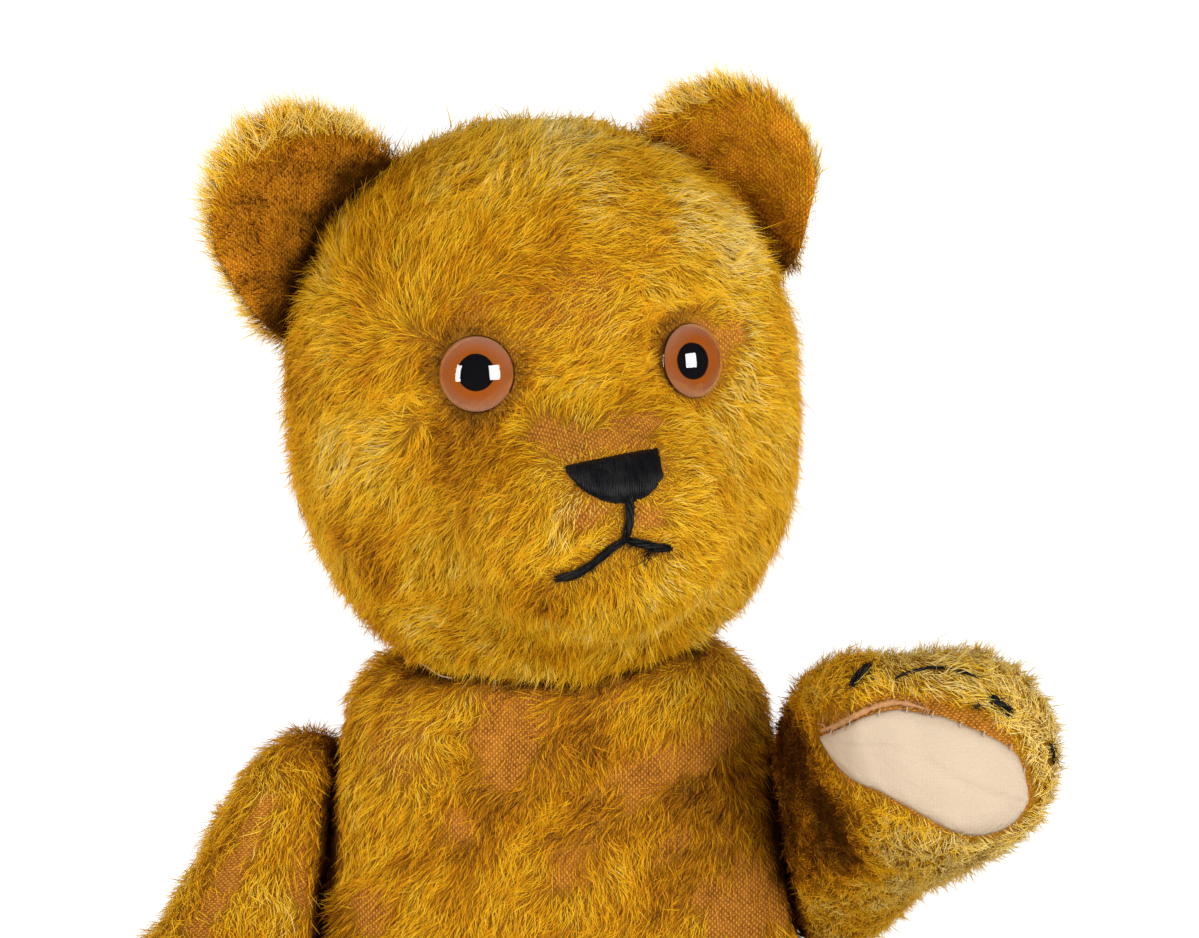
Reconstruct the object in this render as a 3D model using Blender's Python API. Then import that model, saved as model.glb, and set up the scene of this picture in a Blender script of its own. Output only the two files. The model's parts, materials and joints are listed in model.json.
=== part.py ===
"""A jointed plush teddy bear, seated: sewn mohair covers over firm stuffing, with a disc joint and
cotter pin at the neck, both shoulders and both hips, glass eyes, stitched nose, mouth and claws.

Metres, +Z up. The bear faces -Y and sits on the flat underside of its torso, at z = 0.
"Left" and "right" are the bear's own: its left side is +X.
"""

import math

import bmesh
import bpy
from mathutils import Matrix, Vector
from mathutils.bvhtree import BVHTree

MM = 0.001

# Cloth and clearances
CLOTH = 1.2 * MM  # plush backing cloth
GAP = 0.3 * MM  # between pieces that touch on the real bear
FILLING_GAP = 0.45 * MM  # between a cover's inside and its stuffing

# Neck
NECK_HEIGHT = 200 * MM
NECK_LEAN = 6  # degrees that the neck's axis leans forward
NECK_TILT = 3.5  # degrees that it leans to the bear's right
HEAD_TURN = 11  # degrees that the head is turned to the bear's left

# Shoulders
SHOULDER_SLOPE = 7.4  # degrees between the torso's side and upright
SHOULDER_HEIGHT = 143 * MM
SHOULDER_REACH = 62 * MM  # out from the middle
LOWERED_ARM = 42  # degrees forward of hanging straight down
RAISED_ARM = 111.5

# Hips
HIP_SPLAY = 7  # degrees that each leg turns outwards
HIP_CENTRE = Vector((51 * MM, -2 * MM, 31 * MM))
SEATED_LEG = 90  # degrees forward of hanging straight down
HIP_FLAT = 42 * MM  # radius of the torso's flat that the leg turns against
HIP_BLEND = 20 * MM

# Disc joints
NECK_DISC = 25 * MM
SHOULDER_DISC = 18 * MM
HIP_DISC = 18.5 * MM
DISC_THICKNESS = 2.5 * MM
DISC_LEVEL = GAP + CLOTH + GAP  # from the plane the joint turns in
WASHER_RADIUS = 7 * MM
WASHER_THICKNESS = 1 * MM
WASHER_LEVEL = DISC_LEVEL + DISC_THICKNESS + GAP
PIN_HOLE = 2.3 * MM
PIN_WIRE = 0.9 * MM  # radius of the wire
PIN_STRAND = 1.0 * MM  # each leg's distance from the pin's middle
PIN_EYE = 3.0 * MM
PIN_CURL = 3.2 * MM
PIN_EYE_SHAPE = 1.1  # how far the eye's middle stands off its leg, in radii of the eye
PIN_EYE_TURNS = (55, 105, 155)
PIN_CURL_TURNS = (0, 60, 120, 180)
PIN_SPARE = 0.5 * MM  # between the outer washer and the eye
PIN_BEND = 3 * MM  # between the inner washer and the curled legs
PIN_HOLE_DEPTH = 6 * MM
PIN_POCKET = 11.5 * MM
PIN_POCKET_DEPTH = 19 * MM
DISC_SIDES = 20
WASHER_SIDES = 12
HOLE_SIDES = 10
SEAT_SIDES = 24
POCKET_SIDES = 14

# Head, in its own frame: origin at the neck, face towards -Y
SKULL_CENTRE = Vector((0, -1 * MM, 67 * MM))
SKULL_RADII = Vector((67 * MM, 63 * MM, 75 * MM))
SKULL_SQUARENESS = 2.3
JOWL_CENTRE = Vector((0, -4 * MM, 38 * MM))
JOWL_RADII = Vector((55.5 * MM, 54 * MM, 45 * MM))
MUZZLE_CENTRE = Vector((1.5 * MM, -52 * MM, 52 * MM))
MUZZLE_RADII = Vector((38 * MM, 46 * MM, 33 * MM))
FORM_BLEND = 14 * MM
NECK_PRESS = 5 * MM  # what is lower than this is pressed flat by the neck's joint

MUZZLE_POLE = 12  # degrees that the muzzle points below level
OUTSIDE = 200 * MM  # further than any soft body's surface is from its middle

# Eyes: degrees round from the face, and above level, from the middle of the skull
EYES = {"left": (28.8, 19.4), "right": (-24.7, 21.3)}
EYE_RADIUS = 10 * MM
EYE_DOME = 5.4 * MM
EYE_EDGE = 1.5 * MM
EYE_SINK = 1.2 * MM
EYE_BACK = 0.96  # the back's radius as a share of the eye's
EYE_SIDE = 1 * MM  # height of the upright side below the dome
EYE_DOME_TURNS = (6, 25, 45, 65)
EYE_SIDES = 20
EYE_WIRE = 0.5 * MM
EYE_WIRE_DEPTH = 8 * MM
EYE_WIRE_LOOP = 2 * MM
EYE_WIRE_TURNS = (45, 90, 135, 180, 225, 270, 315)
EYE_HOLE = 1.2 * MM
EYE_HOLE_DEPTH = 5 * MM
EYE_POCKET = 4 * MM
EYE_POCKET_DEPTH = 14 * MM

# Ears: the middle of the disc and the directions along its seam and out to its tip, head's frame
EARS = {
    "left": (Vector((57, 4, 120)) * MM, Vector((-0.69, 0, 0.72)), 28 * MM),
    "right": (Vector((-58, 8, 117)) * MM, Vector((0.565, 0, 0.825)), 29.5 * MM),
}
EAR_CUP = 8 * MM  # how far the ends of the seam come forward
EAR_CURL = 4 * MM  # how far the tip comes forward
EAR_THICKNESS = 4.5 * MM
EAR_SIDES = 20
# From the front's middle over the edge to the back's: share of the radius, share of the half thickness
EAR_SECTION = ((0.4, 1), (0.75, 1), (0.94, 0.8), (1, 0), (0.94, -0.8), (0.75, -1), (0.4, -1))

# Nose and mouth, in the head's frame: across, and height above the neck
NOSE_MIDDLE = 2.6 * MM
NOSE_HALF_WIDTH = 12.2 * MM
NOSE_TOP = 72.8 * MM
NOSE_BOTTOM = 63.3 * MM
NOSE_CORNER = 6 * MM  # how much higher the bottom edge is at the corners
NOSE_CORNER_CURVE = 2.2
NOSE_CROWN = 1.2 * MM  # how much lower the top edge is at the corners
NOSE_COLUMNS = 8
NOSE_ROWS = (0, 0.34, 0.67, 1)
NOSE_THICKNESS = 2 * MM
THREAD = 0.8 * MM
MOUTH = ((-14.6, 44.2), (-10, 46.4), (-5.8, 49), (-1.5, 51.6), (2.6, 54), (7.9, 51.8), (13.3, 50.2))
PHILTRUM = ((2.3, 61.8), (2.5, 58.9), (2.6, 56.2))

# Paw pads and claws, across and up from the middle of the paw's end, seen facing it
PAW_MIDDLE = (84, 1, 40.7)  # along the arm, forward, out; mm
PAW_FACING = (0.976, -0.218, 0.02)
PAW_ROUND = 29  # radius that the marks are spread on, mm
PAW_EDGE = 3  # least distance of a mark ahead of the paw's middle, mm
PAD_ROWS = (0, 0.25, 0.5, 0.75, 1)
CLAW_SHARES = (0, 0.33, 0.67, 1)
PAD_TOP = ((-27.5, 4), (-21, 10.5), (-12.8, 14), (-4, 13), (5.1, 10.2), (12, 6), (17.9, 1.3), (22, -7.5))
PAD_LOW = (
    (-27.5, 3), (-22, -3.8), (-16, -8.5), (-8, -13), (0, -15.8), (9, -17.9), (17, -15.8), (22, -9.5)
)
CLAWS = (
    ((-17, 18), (-10.5, 22.5)),
    ((-1.5, 23.5), (6, 23.5)),
    ((13.5, 16.5), (18, 11.5)),
    ((25.5, 6), (26.5, 0)),
)
CLAW_THREAD = 0.7 * MM
PAD_CLOTH = 1.0 * MM
PATCH_SINK = 1.5 * MM  # how deep a layer starts inside the body before the body is cut from it
STITCH_LIFT = 0.5 * MM  # between a body and a thread on it
SOLE_MIDDLE = (6, 20)  # forward, out; mm
SOLE_HALF_LENGTH = 27  # mm
SOLE_HALF_WIDTH = 16  # mm
SOLE_ROWS = (-1, -0.6, -0.2, 0.2, 0.6, 1)
SOLE_COLUMNS = (-0.98, -0.735, -0.49, -0.245, 0, 0.245, 0.49, 0.735, 0.98)

WIRE_ROUNDING = 2
WELD = 0.01 * MM
FORMS = {}  # each soft body's outer surface in its own frame


def clear_scene():
    for found in list(bpy.data.objects):
        bpy.data.objects.remove(found)


def collection(name):
    made = bpy.data.collections.new(name)
    bpy.context.scene.collection.children.link(made)
    return made


clear_scene()
BEAR = collection("teddy_bear")
CUTTERS = collection("cutters")


def material(name, colour, roughness, metallic=0.0):
    made = bpy.data.materials.new(name)
    made.use_nodes = True
    shader = made.node_tree.nodes["Principled BSDF"]
    shader.inputs["Base Color"].default_value = (*colour, 1)
    shader.inputs["Roughness"].default_value = roughness
    shader.inputs["Metallic"].default_value = metallic
    return made


def put(name, form, finish, place):
    """A finished piece, made from a form in its own frame."""
    mesh = bpy.data.meshes.new(name)
    form.to_mesh(mesh)
    mesh.transform(place)
    mesh.materials.append(finish)
    made = bpy.data.objects.new(name, mesh)
    BEAR.objects.link(made)
    return made


def put_cutter(form, place):
    mesh = bpy.data.meshes.new("cutter")
    form.to_mesh(mesh)
    mesh.transform(place)
    made = bpy.data.objects.new("cutter", mesh)
    CUTTERS.objects.link(made)
    made.hide_render = True
    made.display_type = "WIRE"
    return made


def cut(target, tool):
    change = target.modifiers.new("Cut", "BOOLEAN")
    change.operation = "DIFFERENCE"
    change.solver = "EXACT"
    change.object = tool


# Forms


def lathed_grid(rings, first_end, last_end):
    """A closed form through rings of points, with an end point beyond the first and the last."""
    form = bmesh.new()
    grid = [[form.verts.new(point) for point in ring] for ring in rings]
    for low, high in zip(grid, grid[1:]):
        for k in range(len(low)):
            before = k - 1
            form.faces.new((low[before], low[k], high[k], high[before]))
    for ring, end in ((grid[0], first_end), (grid[-1], last_end)):
        tip = form.verts.new(end)
        for k in range(len(ring)):
            form.faces.new((ring[k - 1], ring[k], tip))
    bmesh.ops.recalc_face_normals(form, faces=form.faces)
    bmesh.ops.triangulate(form, faces=form.faces)
    return form


def offset_copy(form, depth):
    """The form shrunk inwards by an even depth, or grown where the depth is negative."""
    inner = form.copy()
    inner.normal_update()
    moves = [(v, v.normal * (depth * v.calc_shell_factor())) for v in inner.verts]
    for vertex, move in moves:
        vertex.co -= move
    return inner


def cylinder(radius, low, high, sides):
    form = bmesh.new()
    bmesh.ops.create_cone(
        form, cap_ends=True, segments=sides, radius1=radius, radius2=radius, depth=high - low
    )
    bmesh.ops.translate(form, verts=form.verts, vec=(0, 0, (low + high) / 2))
    return form


def ring_form(outer, low, thickness, sides):
    """A flat ring with the pin's hole through it."""
    form = bmesh.new()
    section = (
        (PIN_HOLE, low),
        (outer, low),
        (outer, low + thickness),
        (PIN_HOLE, low + thickness),
    )
    loops = []
    for k in range(sides):
        turn = 2 * math.pi * k / sides
        c, s = math.cos(turn), math.sin(turn)
        loops.append([form.verts.new((r * c, r * s, z)) for r, z in section])
    for k in range(sides):
        for j in range(4):
            i = j - 1
            form.faces.new((loops[k - 1][i], loops[k - 1][j], loops[k][j], loops[k][i]))
    bmesh.ops.recalc_face_normals(form, faces=form.faces)
    return form


def wire(name, points, radius, finish, place):
    """A round wire or thread through these points."""
    curve = bpy.data.curves.new(name, "CURVE")
    curve.dimensions = "3D"
    curve.bevel_depth = radius
    curve.bevel_resolution = WIRE_ROUNDING
    curve.use_fill_caps = True
    spline = curve.splines.new("POLY")
    spline.points.add(len(points) - 1)
    for point, at in zip(spline.points, points):
        point.co = (*at, 1)
    drawn = bpy.data.objects.new(name, curve)
    form = bmesh.new()
    form.from_mesh(bpy.data.meshes.new_from_object(drawn))
    bpy.data.objects.remove(drawn)
    bmesh.ops.remove_doubles(form, verts=form.verts, dist=WELD)
    bmesh.ops.recalc_face_normals(form, faces=form.faces)
    return put(name, form, finish, place)


def cover_and_stuffing(name, form, place, holes, pockets):
    """A sewn cover of even thickness round a stuffing a little smaller than its inside."""
    wall = form.copy()
    inside = offset_copy(form, CLOTH)
    bmesh.ops.reverse_faces(inside, faces=inside.faces)
    inside_mesh = bpy.data.meshes.new("inside")
    inside.to_mesh(inside_mesh)
    wall.from_mesh(inside_mesh)
    cover = put(name + "_cover", wall, MOHAIR, place)
    for hole in holes:
        cut(cover, hole)
    filling = offset_copy(form, CLOTH + FILLING_GAP)
    stuffing = put(name + "_stuffing", filling, STUFFING, place)
    for pocket in pockets:
        cut(stuffing, pocket)
    FORMS[name] = form
    return cover


# Sections


def superellipse(angle, half_a, half_b, squareness):
    c, s = math.cos(angle), math.sin(angle)
    scale = (abs(c) ** squareness + abs(s) ** squareness) ** (-1 / squareness)
    return half_a * c * scale, half_b * s * scale


def smooth_step(value):
    value = min(1, max(0, value))
    return value * value * (3 - 2 * value)


def pressed(point, place, level, radius=None, blend=None):
    """The point, pushed back to a level in a joint's frame, all over or round the joint."""
    local = place.inverted() @ point
    if local.z <= level:
        return point
    share = 1.0
    if radius is not None:
        share = 1 - smooth_step((math.hypot(local.x, local.y) - radius) / blend)
    local.z += (level - local.z) * share
    return place @ local


# Joint frames. Z points from the torso out through the limb.


def rotation_from(x_axis, y_axis, z_axis):
    return Matrix((x_axis, y_axis, z_axis)).transposed().to_4x4()


def limb_place(centre, out, swing):
    """A limb's frame: X along the limb, Z out from the torso. swing is degrees forward of down."""
    down = Vector((0, 0, -1))
    down = (down - out * down.dot(out)).normalized()
    forward = out.cross(down)
    if forward.y > 0:
        forward = -forward
    angle = math.radians(swing)
    along = down * math.cos(angle) + forward * math.sin(angle)
    place = rotation_from(along, out.cross(along), out)
    place.translation = centre
    return place


def shoulder_place(side, swing=0):
    slope = math.radians(SHOULDER_SLOPE)
    out = Vector((side * math.cos(slope), 0, math.sin(slope)))
    return limb_place(Vector((side * SHOULDER_REACH, 0, SHOULDER_HEIGHT)), out, swing)


def hip_place(side, swing=0):
    splay = math.radians(HIP_SPLAY)
    out = Vector((side * math.cos(splay), math.sin(splay), 0))
    centre = Vector((side * HIP_CENTRE.x, HIP_CENTRE.y, HIP_CENTRE.z))
    return limb_place(centre, out, swing)


NECK_PLACE = (
    Matrix.Translation((0, 0, NECK_HEIGHT))
    @ Matrix.Rotation(math.radians(-NECK_TILT), 4, "Y")
    @ Matrix.Rotation(math.radians(NECK_LEAN), 4, "X")
)
HEAD_PLACE = NECK_PLACE @ Matrix.Rotation(math.radians(HEAD_TURN), 4, "Z")


# Torso

# One row a ring: height, middle forward, half depth, half width, in mm
TORSO_RINGS = (
    (0, 0, 22, 24),
    (0, 0, 43, 46),
    (5, 0, 49, 56),
    (15, -1, 54, 64),
    (32, -2, 57, 69),
    (52, -3, 58.5, 72),
    (72, -3, 59, 73.5),
    (92, -3, 57, 73),
    (110, -2, 54, 72),
    (127, -1, 51, 71),
    (144, 0, 47, 70),
    (160, 1, 43, 67),
    (174, 2, 39.5, 62),
    (186, 2, 37, 56),
    (195, 1, 35, 49),
    (200, 0, 31, 39),
    (200, 0, 15, 18),
)
TORSO_SIDES = 24
TORSO_SQUARENESS = 2.25


def torso_point(height, forward, half_depth, half_width, angle):
    across, ahead = superellipse(angle, half_width, half_depth, TORSO_SQUARENESS)
    point = Vector((across, forward + ahead, height)) * MM
    for side in (1, -1):
        point = pressed(point, shoulder_place(side), -GAP)
        point = pressed(point, hip_place(side), -GAP, HIP_FLAT, HIP_BLEND)
    if height * MM >= NECK_HEIGHT:
        local = NECK_PLACE.inverted() @ point
        point = NECK_PLACE @ Vector((local.x, local.y, -GAP))
    return pressed(point, NECK_PLACE, -GAP)


def torso_form():
    turns = [2 * math.pi * k / TORSO_SIDES for k in range(TORSO_SIDES)]
    rings = [[torso_point(*row, turn) for turn in turns] for row in TORSO_RINGS]
    return lathed_grid(rings, Vector((0, 0, 0)), NECK_PLACE @ Vector((0, 0, -GAP)))


# Arms and legs

# One row a ring: along the limb, then middle out, middle forward, half out, half across, in mm
ARM_RINGS = (
    (-30, 7, 0, 6, 9),
    (-25, 8, 0, 10.5, 18),
    (-15, 9.5, 0, 15.5, 26),
    (0, 12, 0, 18.5, 30),
    (15, 15, 0, 20, 29),
    (32, 20, 0.5, 21, 26.5),
    (48, 26, 1.5, 22, 25),
    (63, 33.5, 3, 25.5, 26),
    (77, 40.5, 5, 28.2, 27),
    (90, 43.8, 6, 28.2, 26.5),
    (100, 43.8, 6.5, 22, 21),
    (106.5, 43.8, 6.5, 12, 10.5),
)
ARM_ENDS = ((-31, 7, 0), (108, 43.8, 6.5))
LEG_RINGS = (
    (-28.5, 13, 0, 11, 11),
    (-23, 13, 0, 17, 20),
    (-12, 14, 0, 21.5, 26.5),
    (3, 15, 0, 22.5, 29.5),
    (20, 16, -0.5, 22.5, 29.2),
    (40, 18, -2.5, 22, 27.5),
    (62, 19.5, -4.5, 21.5, 25.5),
    (84, 20, -6, 20, 24),
    (104, 20, -4, 20.5, 26),
    (120, 20, 2, 22.5, 32),
    (133, 20, 5.5, 22.5, 35.5),
    (142, 20, 6, 18.5, 31),
    (146, 20, 6, 10, 18),
)
LEG_ENDS = ((-30, 13, 0), (147, 20, 6))
LIMB_SIDES = 16
LIMB_SQUARENESS = 2.3


def limb_form(side, rings, ends):
    """The limb's outer surface in its joint's frame, flat where it turns against the torso."""
    turns = [2 * math.pi * k / LIMB_SIDES for k in range(LIMB_SIDES)]
    placed = []
    for along, out, forward, half_out, half_across in rings:
        ring = []
        for turn in turns:
            o, a = superellipse(turn, half_out, half_across, LIMB_SQUARENESS)
            ring.append(Vector((along, -side * (forward + a), max(out + o, GAP / MM))) * MM)
        placed.append(ring)
    tips = [Vector((along, -side * forward, out)) * MM for along, out, forward in ends]
    return lathed_grid(placed, *tips)


# Head

HEAD_SIDES = 24
# Degrees from the tip of the muzzle to each ring
HEAD_RINGS = (6, 12, 18, 24, 30, 37, 46, 56, 67, 79, 91, 103, 115, 128, 142, 157, 170)


def ray_to_ellipsoid(direction, centre, radii):
    """How far from the skull's centre this direction leaves an ellipsoid, or 0 if it misses."""
    d = Vector([direction[k] / radii[k] for k in range(3)])
    o = Vector([(SKULL_CENTRE[k] - centre[k]) / radii[k] for k in range(3)])
    a, b, c = d.dot(d), d.dot(o), o.dot(o) - 1
    inside = b * b - a * c
    return (-b + math.sqrt(inside)) / a if inside > 0 else 0


def blended(a, b):
    """The larger of two reaches, rounded where they cross."""
    share = max(0, 1 - abs(a - b) / FORM_BLEND)
    return max(a, b) + share * share * FORM_BLEND / 4


def head_point(direction):
    p = SKULL_SQUARENESS
    skull = sum(abs(direction[k] / SKULL_RADII[k]) ** p for k in range(3)) ** (-1 / p)
    jowl = ray_to_ellipsoid(direction, JOWL_CENTRE, JOWL_RADII)
    muzzle = ray_to_ellipsoid(direction, MUZZLE_CENTRE, MUZZLE_RADII)
    reach = blended(max(skull, jowl), muzzle)
    point = SKULL_CENTRE + direction * reach
    if point.z < NECK_PRESS:
        point.z = GAP
    return point


def head_direction(polar, turn):
    """A direction this far from the muzzle's own, this way round it."""
    p = math.radians(polar)
    flat = Vector((math.sin(p) * math.cos(turn), -math.cos(p), math.sin(p) * math.sin(turn)))
    return Matrix.Rotation(math.radians(MUZZLE_POLE), 3, "X") @ flat


def head_form():
    turns = [2 * math.pi * k / HEAD_SIDES for k in range(HEAD_SIDES)]
    rings = [[head_point(head_direction(p, turn)) for turn in turns] for p in HEAD_RINGS]
    return lathed_grid(rings, head_point(head_direction(0, 0)), head_point(head_direction(180, 0)))


# Details on the soft bodies


def surface(name, start, direction):
    """Where a line from outside meets a body's outer form."""
    return BVHTree.FromBMesh(FORMS[name]).ray_cast(start, direction)[0]


def patch(name, rows, thickness, finish, place, body):
    """A layer on a body, through rows of (point, outward direction), cut to lie along it."""
    form = bmesh.new()
    layers = []
    for level in (-PATCH_SINK, GAP + thickness):
        layers.append([[form.verts.new(at + out * level) for at, out in row] for row in rows])
    last_row, last = len(rows) - 1, len(rows[0]) - 1
    for i in range(last_row):
        for k in range(last):
            for layer in layers:
                form.faces.new(
                    (layer[i][k], layer[i][k + 1], layer[i + 1][k + 1], layer[i + 1][k])
                )
    edge = [(0, k) for k in range(last)] + [(i, last) for i in range(last_row)]
    edge += [(last_row, k) for k in range(last, 0, -1)] + [(i, 0) for i in range(last_row, 0, -1)]
    low, high = layers
    for (i, k), (m, n) in zip(edge, edge[1:] + edge[:1]):
        form.faces.new((low[i][k], low[m][n], high[m][n], high[i][k]))
    bmesh.ops.recalc_face_normals(form, faces=form.faces)
    made = put(name, form, finish, place)
    cut(made, put_cutter(offset_copy(FORMS[body], -GAP), place))
    return made


def stitch(name, marks, radius, place):
    """A thread lying just off a body, through (point, outward direction) marks."""
    points = [at + out * (STITCH_LIFT + radius) for at, out in marks]
    wire(name, points, radius, BLACK_THREAD, place)


# Discs, washers and cotter pins


def joint_cutters(place, disc):
    """Cutters for the pin's hole in the cloth and for the hollow the joint leaves in stuffing."""
    sizes = (
        (PIN_HOLE, PIN_HOLE_DEPTH, HOLE_SIDES),
        (disc + 2 * GAP, WASHER_LEVEL, SEAT_SIDES),
        (PIN_POCKET, PIN_POCKET_DEPTH, POCKET_SIDES),
    )
    return [put_cutter(cylinder(r, -depth, depth, sides), place) for r, depth, sides in sizes]


def pin_points():
    """One wire: a curled leg inside the torso, the eye inside the limb, and the other leg."""
    back = WASHER_LEVEL + WASHER_THICKNESS
    eye_base = back + PIN_SPARE
    bend = -(back + PIN_BEND)
    leg = []
    for degrees in PIN_CURL_TURNS:
        turn = math.radians(degrees)
        across = PIN_STRAND + PIN_CURL + PIN_CURL * math.cos(turn)
        leg.append(Vector((across, 0, bend - PIN_CURL * math.sin(turn))))
    leg.append(Vector((PIN_STRAND, 0, eye_base)))
    eye = []
    for degrees in PIN_EYE_TURNS:
        turn = math.radians(degrees)
        height = eye_base + PIN_EYE * (PIN_EYE_SHAPE - math.cos(turn))
        eye.append(Vector((PIN_EYE * math.sin(turn), 0, height)))
    half = leg + eye
    other = [Vector((-point.x, 0, point.z)) for point in reversed(half)]
    return half + other


def disc_joint(name, place, disc):
    """A disc and a washer on each side of the two covers, and the pin that clamps them."""
    rings = (
        ("disc", disc, DISC_LEVEL, DISC_THICKNESS, DISC_SIDES, BOARD),
        ("washer", WASHER_RADIUS, WASHER_LEVEL, WASHER_THICKNESS, WASHER_SIDES, STEEL),
    )
    for kind, radius, level, thickness, sides, finish in rings:
        for word, low in (("outer", level), ("inner", -level - thickness)):
            form = ring_form(radius, low, thickness, sides)
            put(f"{name}_{kind}_{word}", form, finish, place)
    wire(name + "_cotter_pin", pin_points(), PIN_WIRE, STEEL, place)


# Eyes and ears


def eye_place(word):
    """The eye's frame in the head's: Z out of the head, origin on the cloth."""
    round_face, above = (math.radians(a) for a in EYES[word])
    direction = Vector(
        (
            math.sin(round_face) * math.cos(above),
            -math.cos(round_face) * math.cos(above),
            math.sin(above),
        )
    )
    at = surface("head", SKULL_CENTRE + direction * OUTSIDE, -direction)
    offset = at - SKULL_CENTRE
    out = Vector([offset[k] / SKULL_RADII[k] ** 2 for k in range(3)]).normalized()
    across = Vector((0, 0, 1)).cross(out).normalized()
    place = rotation_from(across, out.cross(across), out)
    place.translation = at
    return place


def eye_form(profile):
    """A closed form turned about Z, from (radius, height) points between two end heights."""
    turns = [2 * math.pi * k / EYE_SIDES for k in range(EYE_SIDES)]
    rings = [
        [Vector((r * math.cos(turn), r * math.sin(turn), z)) for turn in turns]
        for r, z in profile[1:-1]
    ]
    return lathed_grid(rings, Vector((0, 0, profile[0][1])), Vector((0, 0, profile[-1][1])))


def glass_eye(word, head_cutter):
    rim = EYE_EDGE + GAP
    profile = [(0, -EYE_SINK), (EYE_RADIUS * EYE_BACK, -EYE_SINK), (EYE_RADIUS, rim - EYE_SIDE)]
    for degrees in EYE_DOME_TURNS:
        turn = math.radians(degrees)
        profile.append((EYE_RADIUS * math.cos(turn), rim + EYE_DOME * math.sin(turn)))
    profile.append((0, rim + EYE_DOME))
    place = HEAD_PLACE @ eye_place(word)
    eye = put("eye_" + word, eye_form(profile), GLASS, place)
    cut(eye, head_cutter)
    points = [Vector((0, 0, -GAP)), Vector((0, 0, -EYE_WIRE_DEPTH))]
    for degrees in EYE_WIRE_TURNS:
        turn = math.radians(degrees)
        across = EYE_WIRE_LOOP * math.sin(turn)
        points.append(
            Vector((across, 0, -EYE_WIRE_DEPTH - EYE_WIRE_LOOP * (1 - math.cos(turn))))
        )
    wire("eye_wire_" + word, points, EYE_WIRE, STEEL, place)


def ear(word, head_cutter):
    """Two round pieces of cloth sewn edge to edge, cupped forward, cut to meet the head."""
    middle, along, radius = EARS[word]
    out = Vector((0, -1, 0)).cross(along).normalized()
    if out.z < 0:
        out = -out
    rings = []
    for share, side in EAR_SECTION:
        ring = []
        for k in range(EAR_SIDES):
            turn = 2 * math.pi * k / EAR_SIDES
            a, b = share * math.cos(turn), share * math.sin(turn)
            ring.append(ear_point(middle, along, out, radius, a, b, side))
        rings.append(ring)
    ends = [ear_point(middle, along, out, radius, 0, 0, side) for side in (1, -1)]
    made = put("ear_" + word, lathed_grid(rings, *ends), EAR_MOHAIR, HEAD_PLACE)
    cut(made, head_cutter)


def ear_point(middle, along, out, radius, a, b, side):
    forward = EAR_CUP * a * a + EAR_CURL * b * abs(b) + EAR_THICKNESS / 2 * side
    return middle + (along * a + out * b) * radius + Vector((0, -1, 0)) * forward


# Nose, mouth, pads and claws


def muzzle_mark(across, height):
    at = surface("head", Vector((across, -OUTSIDE, height)), Vector((0, 1, 0)))
    return at, (at - MUZZLE_CENTRE).normalized()


def nose():
    """A shield of satin stitches over a little padding."""
    rows = []
    for down in NOSE_ROWS:
        row = []
        for k in range(NOSE_COLUMNS + 1):
            u = 2 * k / NOSE_COLUMNS - 1
            top = NOSE_TOP - NOSE_CROWN * u * u
            bottom = NOSE_BOTTOM + NOSE_CORNER * abs(u) ** NOSE_CORNER_CURVE
            row.append(
                muzzle_mark(NOSE_MIDDLE + NOSE_HALF_WIDTH * u, top + (bottom - top) * down)
            )
        rows.append(row)
    patch("nose_stitching", rows, NOSE_THICKNESS, BLACK_THREAD, HEAD_PLACE, "head")


def paw_mark(side, word, across, up):
    """A mark on the paw's end and the direction out of it."""
    facing = Vector(PAW_FACING)
    right = Vector((0, 0, 1))
    right = (right - facing * right.dot(facing)).normalized()
    upward = right.cross(facing)
    if upward.y < 0:
        upward = -upward
    ahead = math.sqrt(max(PAW_ROUND**2 - across**2 - up**2, PAW_EDGE**2))
    direction = facing * ahead + right * across + upward * up
    direction = Vector((direction.x, -side * direction.y, direction.z)).normalized()
    centre = Vector((PAW_MIDDLE[0], -side * PAW_MIDDLE[1], PAW_MIDDLE[2])) * MM
    at = surface("arm_" + word, centre + direction * OUTSIDE, -direction)
    return at, direction


def paw(side, word, place):
    """A cotton pad on the paw's end, with four stitched claws round it."""
    rows = []
    for share in PAD_ROWS:
        row = []
        for (x0, y0), (x1, y1) in zip(PAD_LOW, PAD_TOP):
            row.append(paw_mark(side, word, x0 + (x1 - x0) * share, y0 + (y1 - y0) * share))
        rows.append(row)
    patch("paw_pad_" + word, rows, PAD_CLOTH, PAD_COTTON, place, "arm_" + word)
    for number, (start, end) in enumerate(CLAWS, 1):
        marks = []
        for share in CLAW_SHARES:
            across = start[0] + (end[0] - start[0]) * share
            up = start[1] + (end[1] - start[1]) * share
            marks.append(paw_mark(side, word, across, up))
        stitch(f"claw_{word}_{number}", marks, CLAW_THREAD, place)


def foot(side, word, place):
    """An oval cotton sole."""
    rows = []
    for down in SOLE_ROWS:
        row = []
        for u in SOLE_COLUMNS:
            reach = math.sqrt(1 - u * u)
            forward = SOLE_MIDDLE[0] + SOLE_HALF_LENGTH * u
            out = SOLE_MIDDLE[1] + SOLE_HALF_WIDTH * reach * down
            start = Vector((OUTSIDE / MM, -side * forward, out)) * MM
            at = surface("leg_" + word, start, Vector((-1, 0, 0)))
            row.append((at, Vector((1, 0, 0))))
        rows.append(row)
    patch("foot_pad_" + word, rows, PAD_CLOTH, PAD_COTTON, place, "leg_" + word)


# The bear

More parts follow.
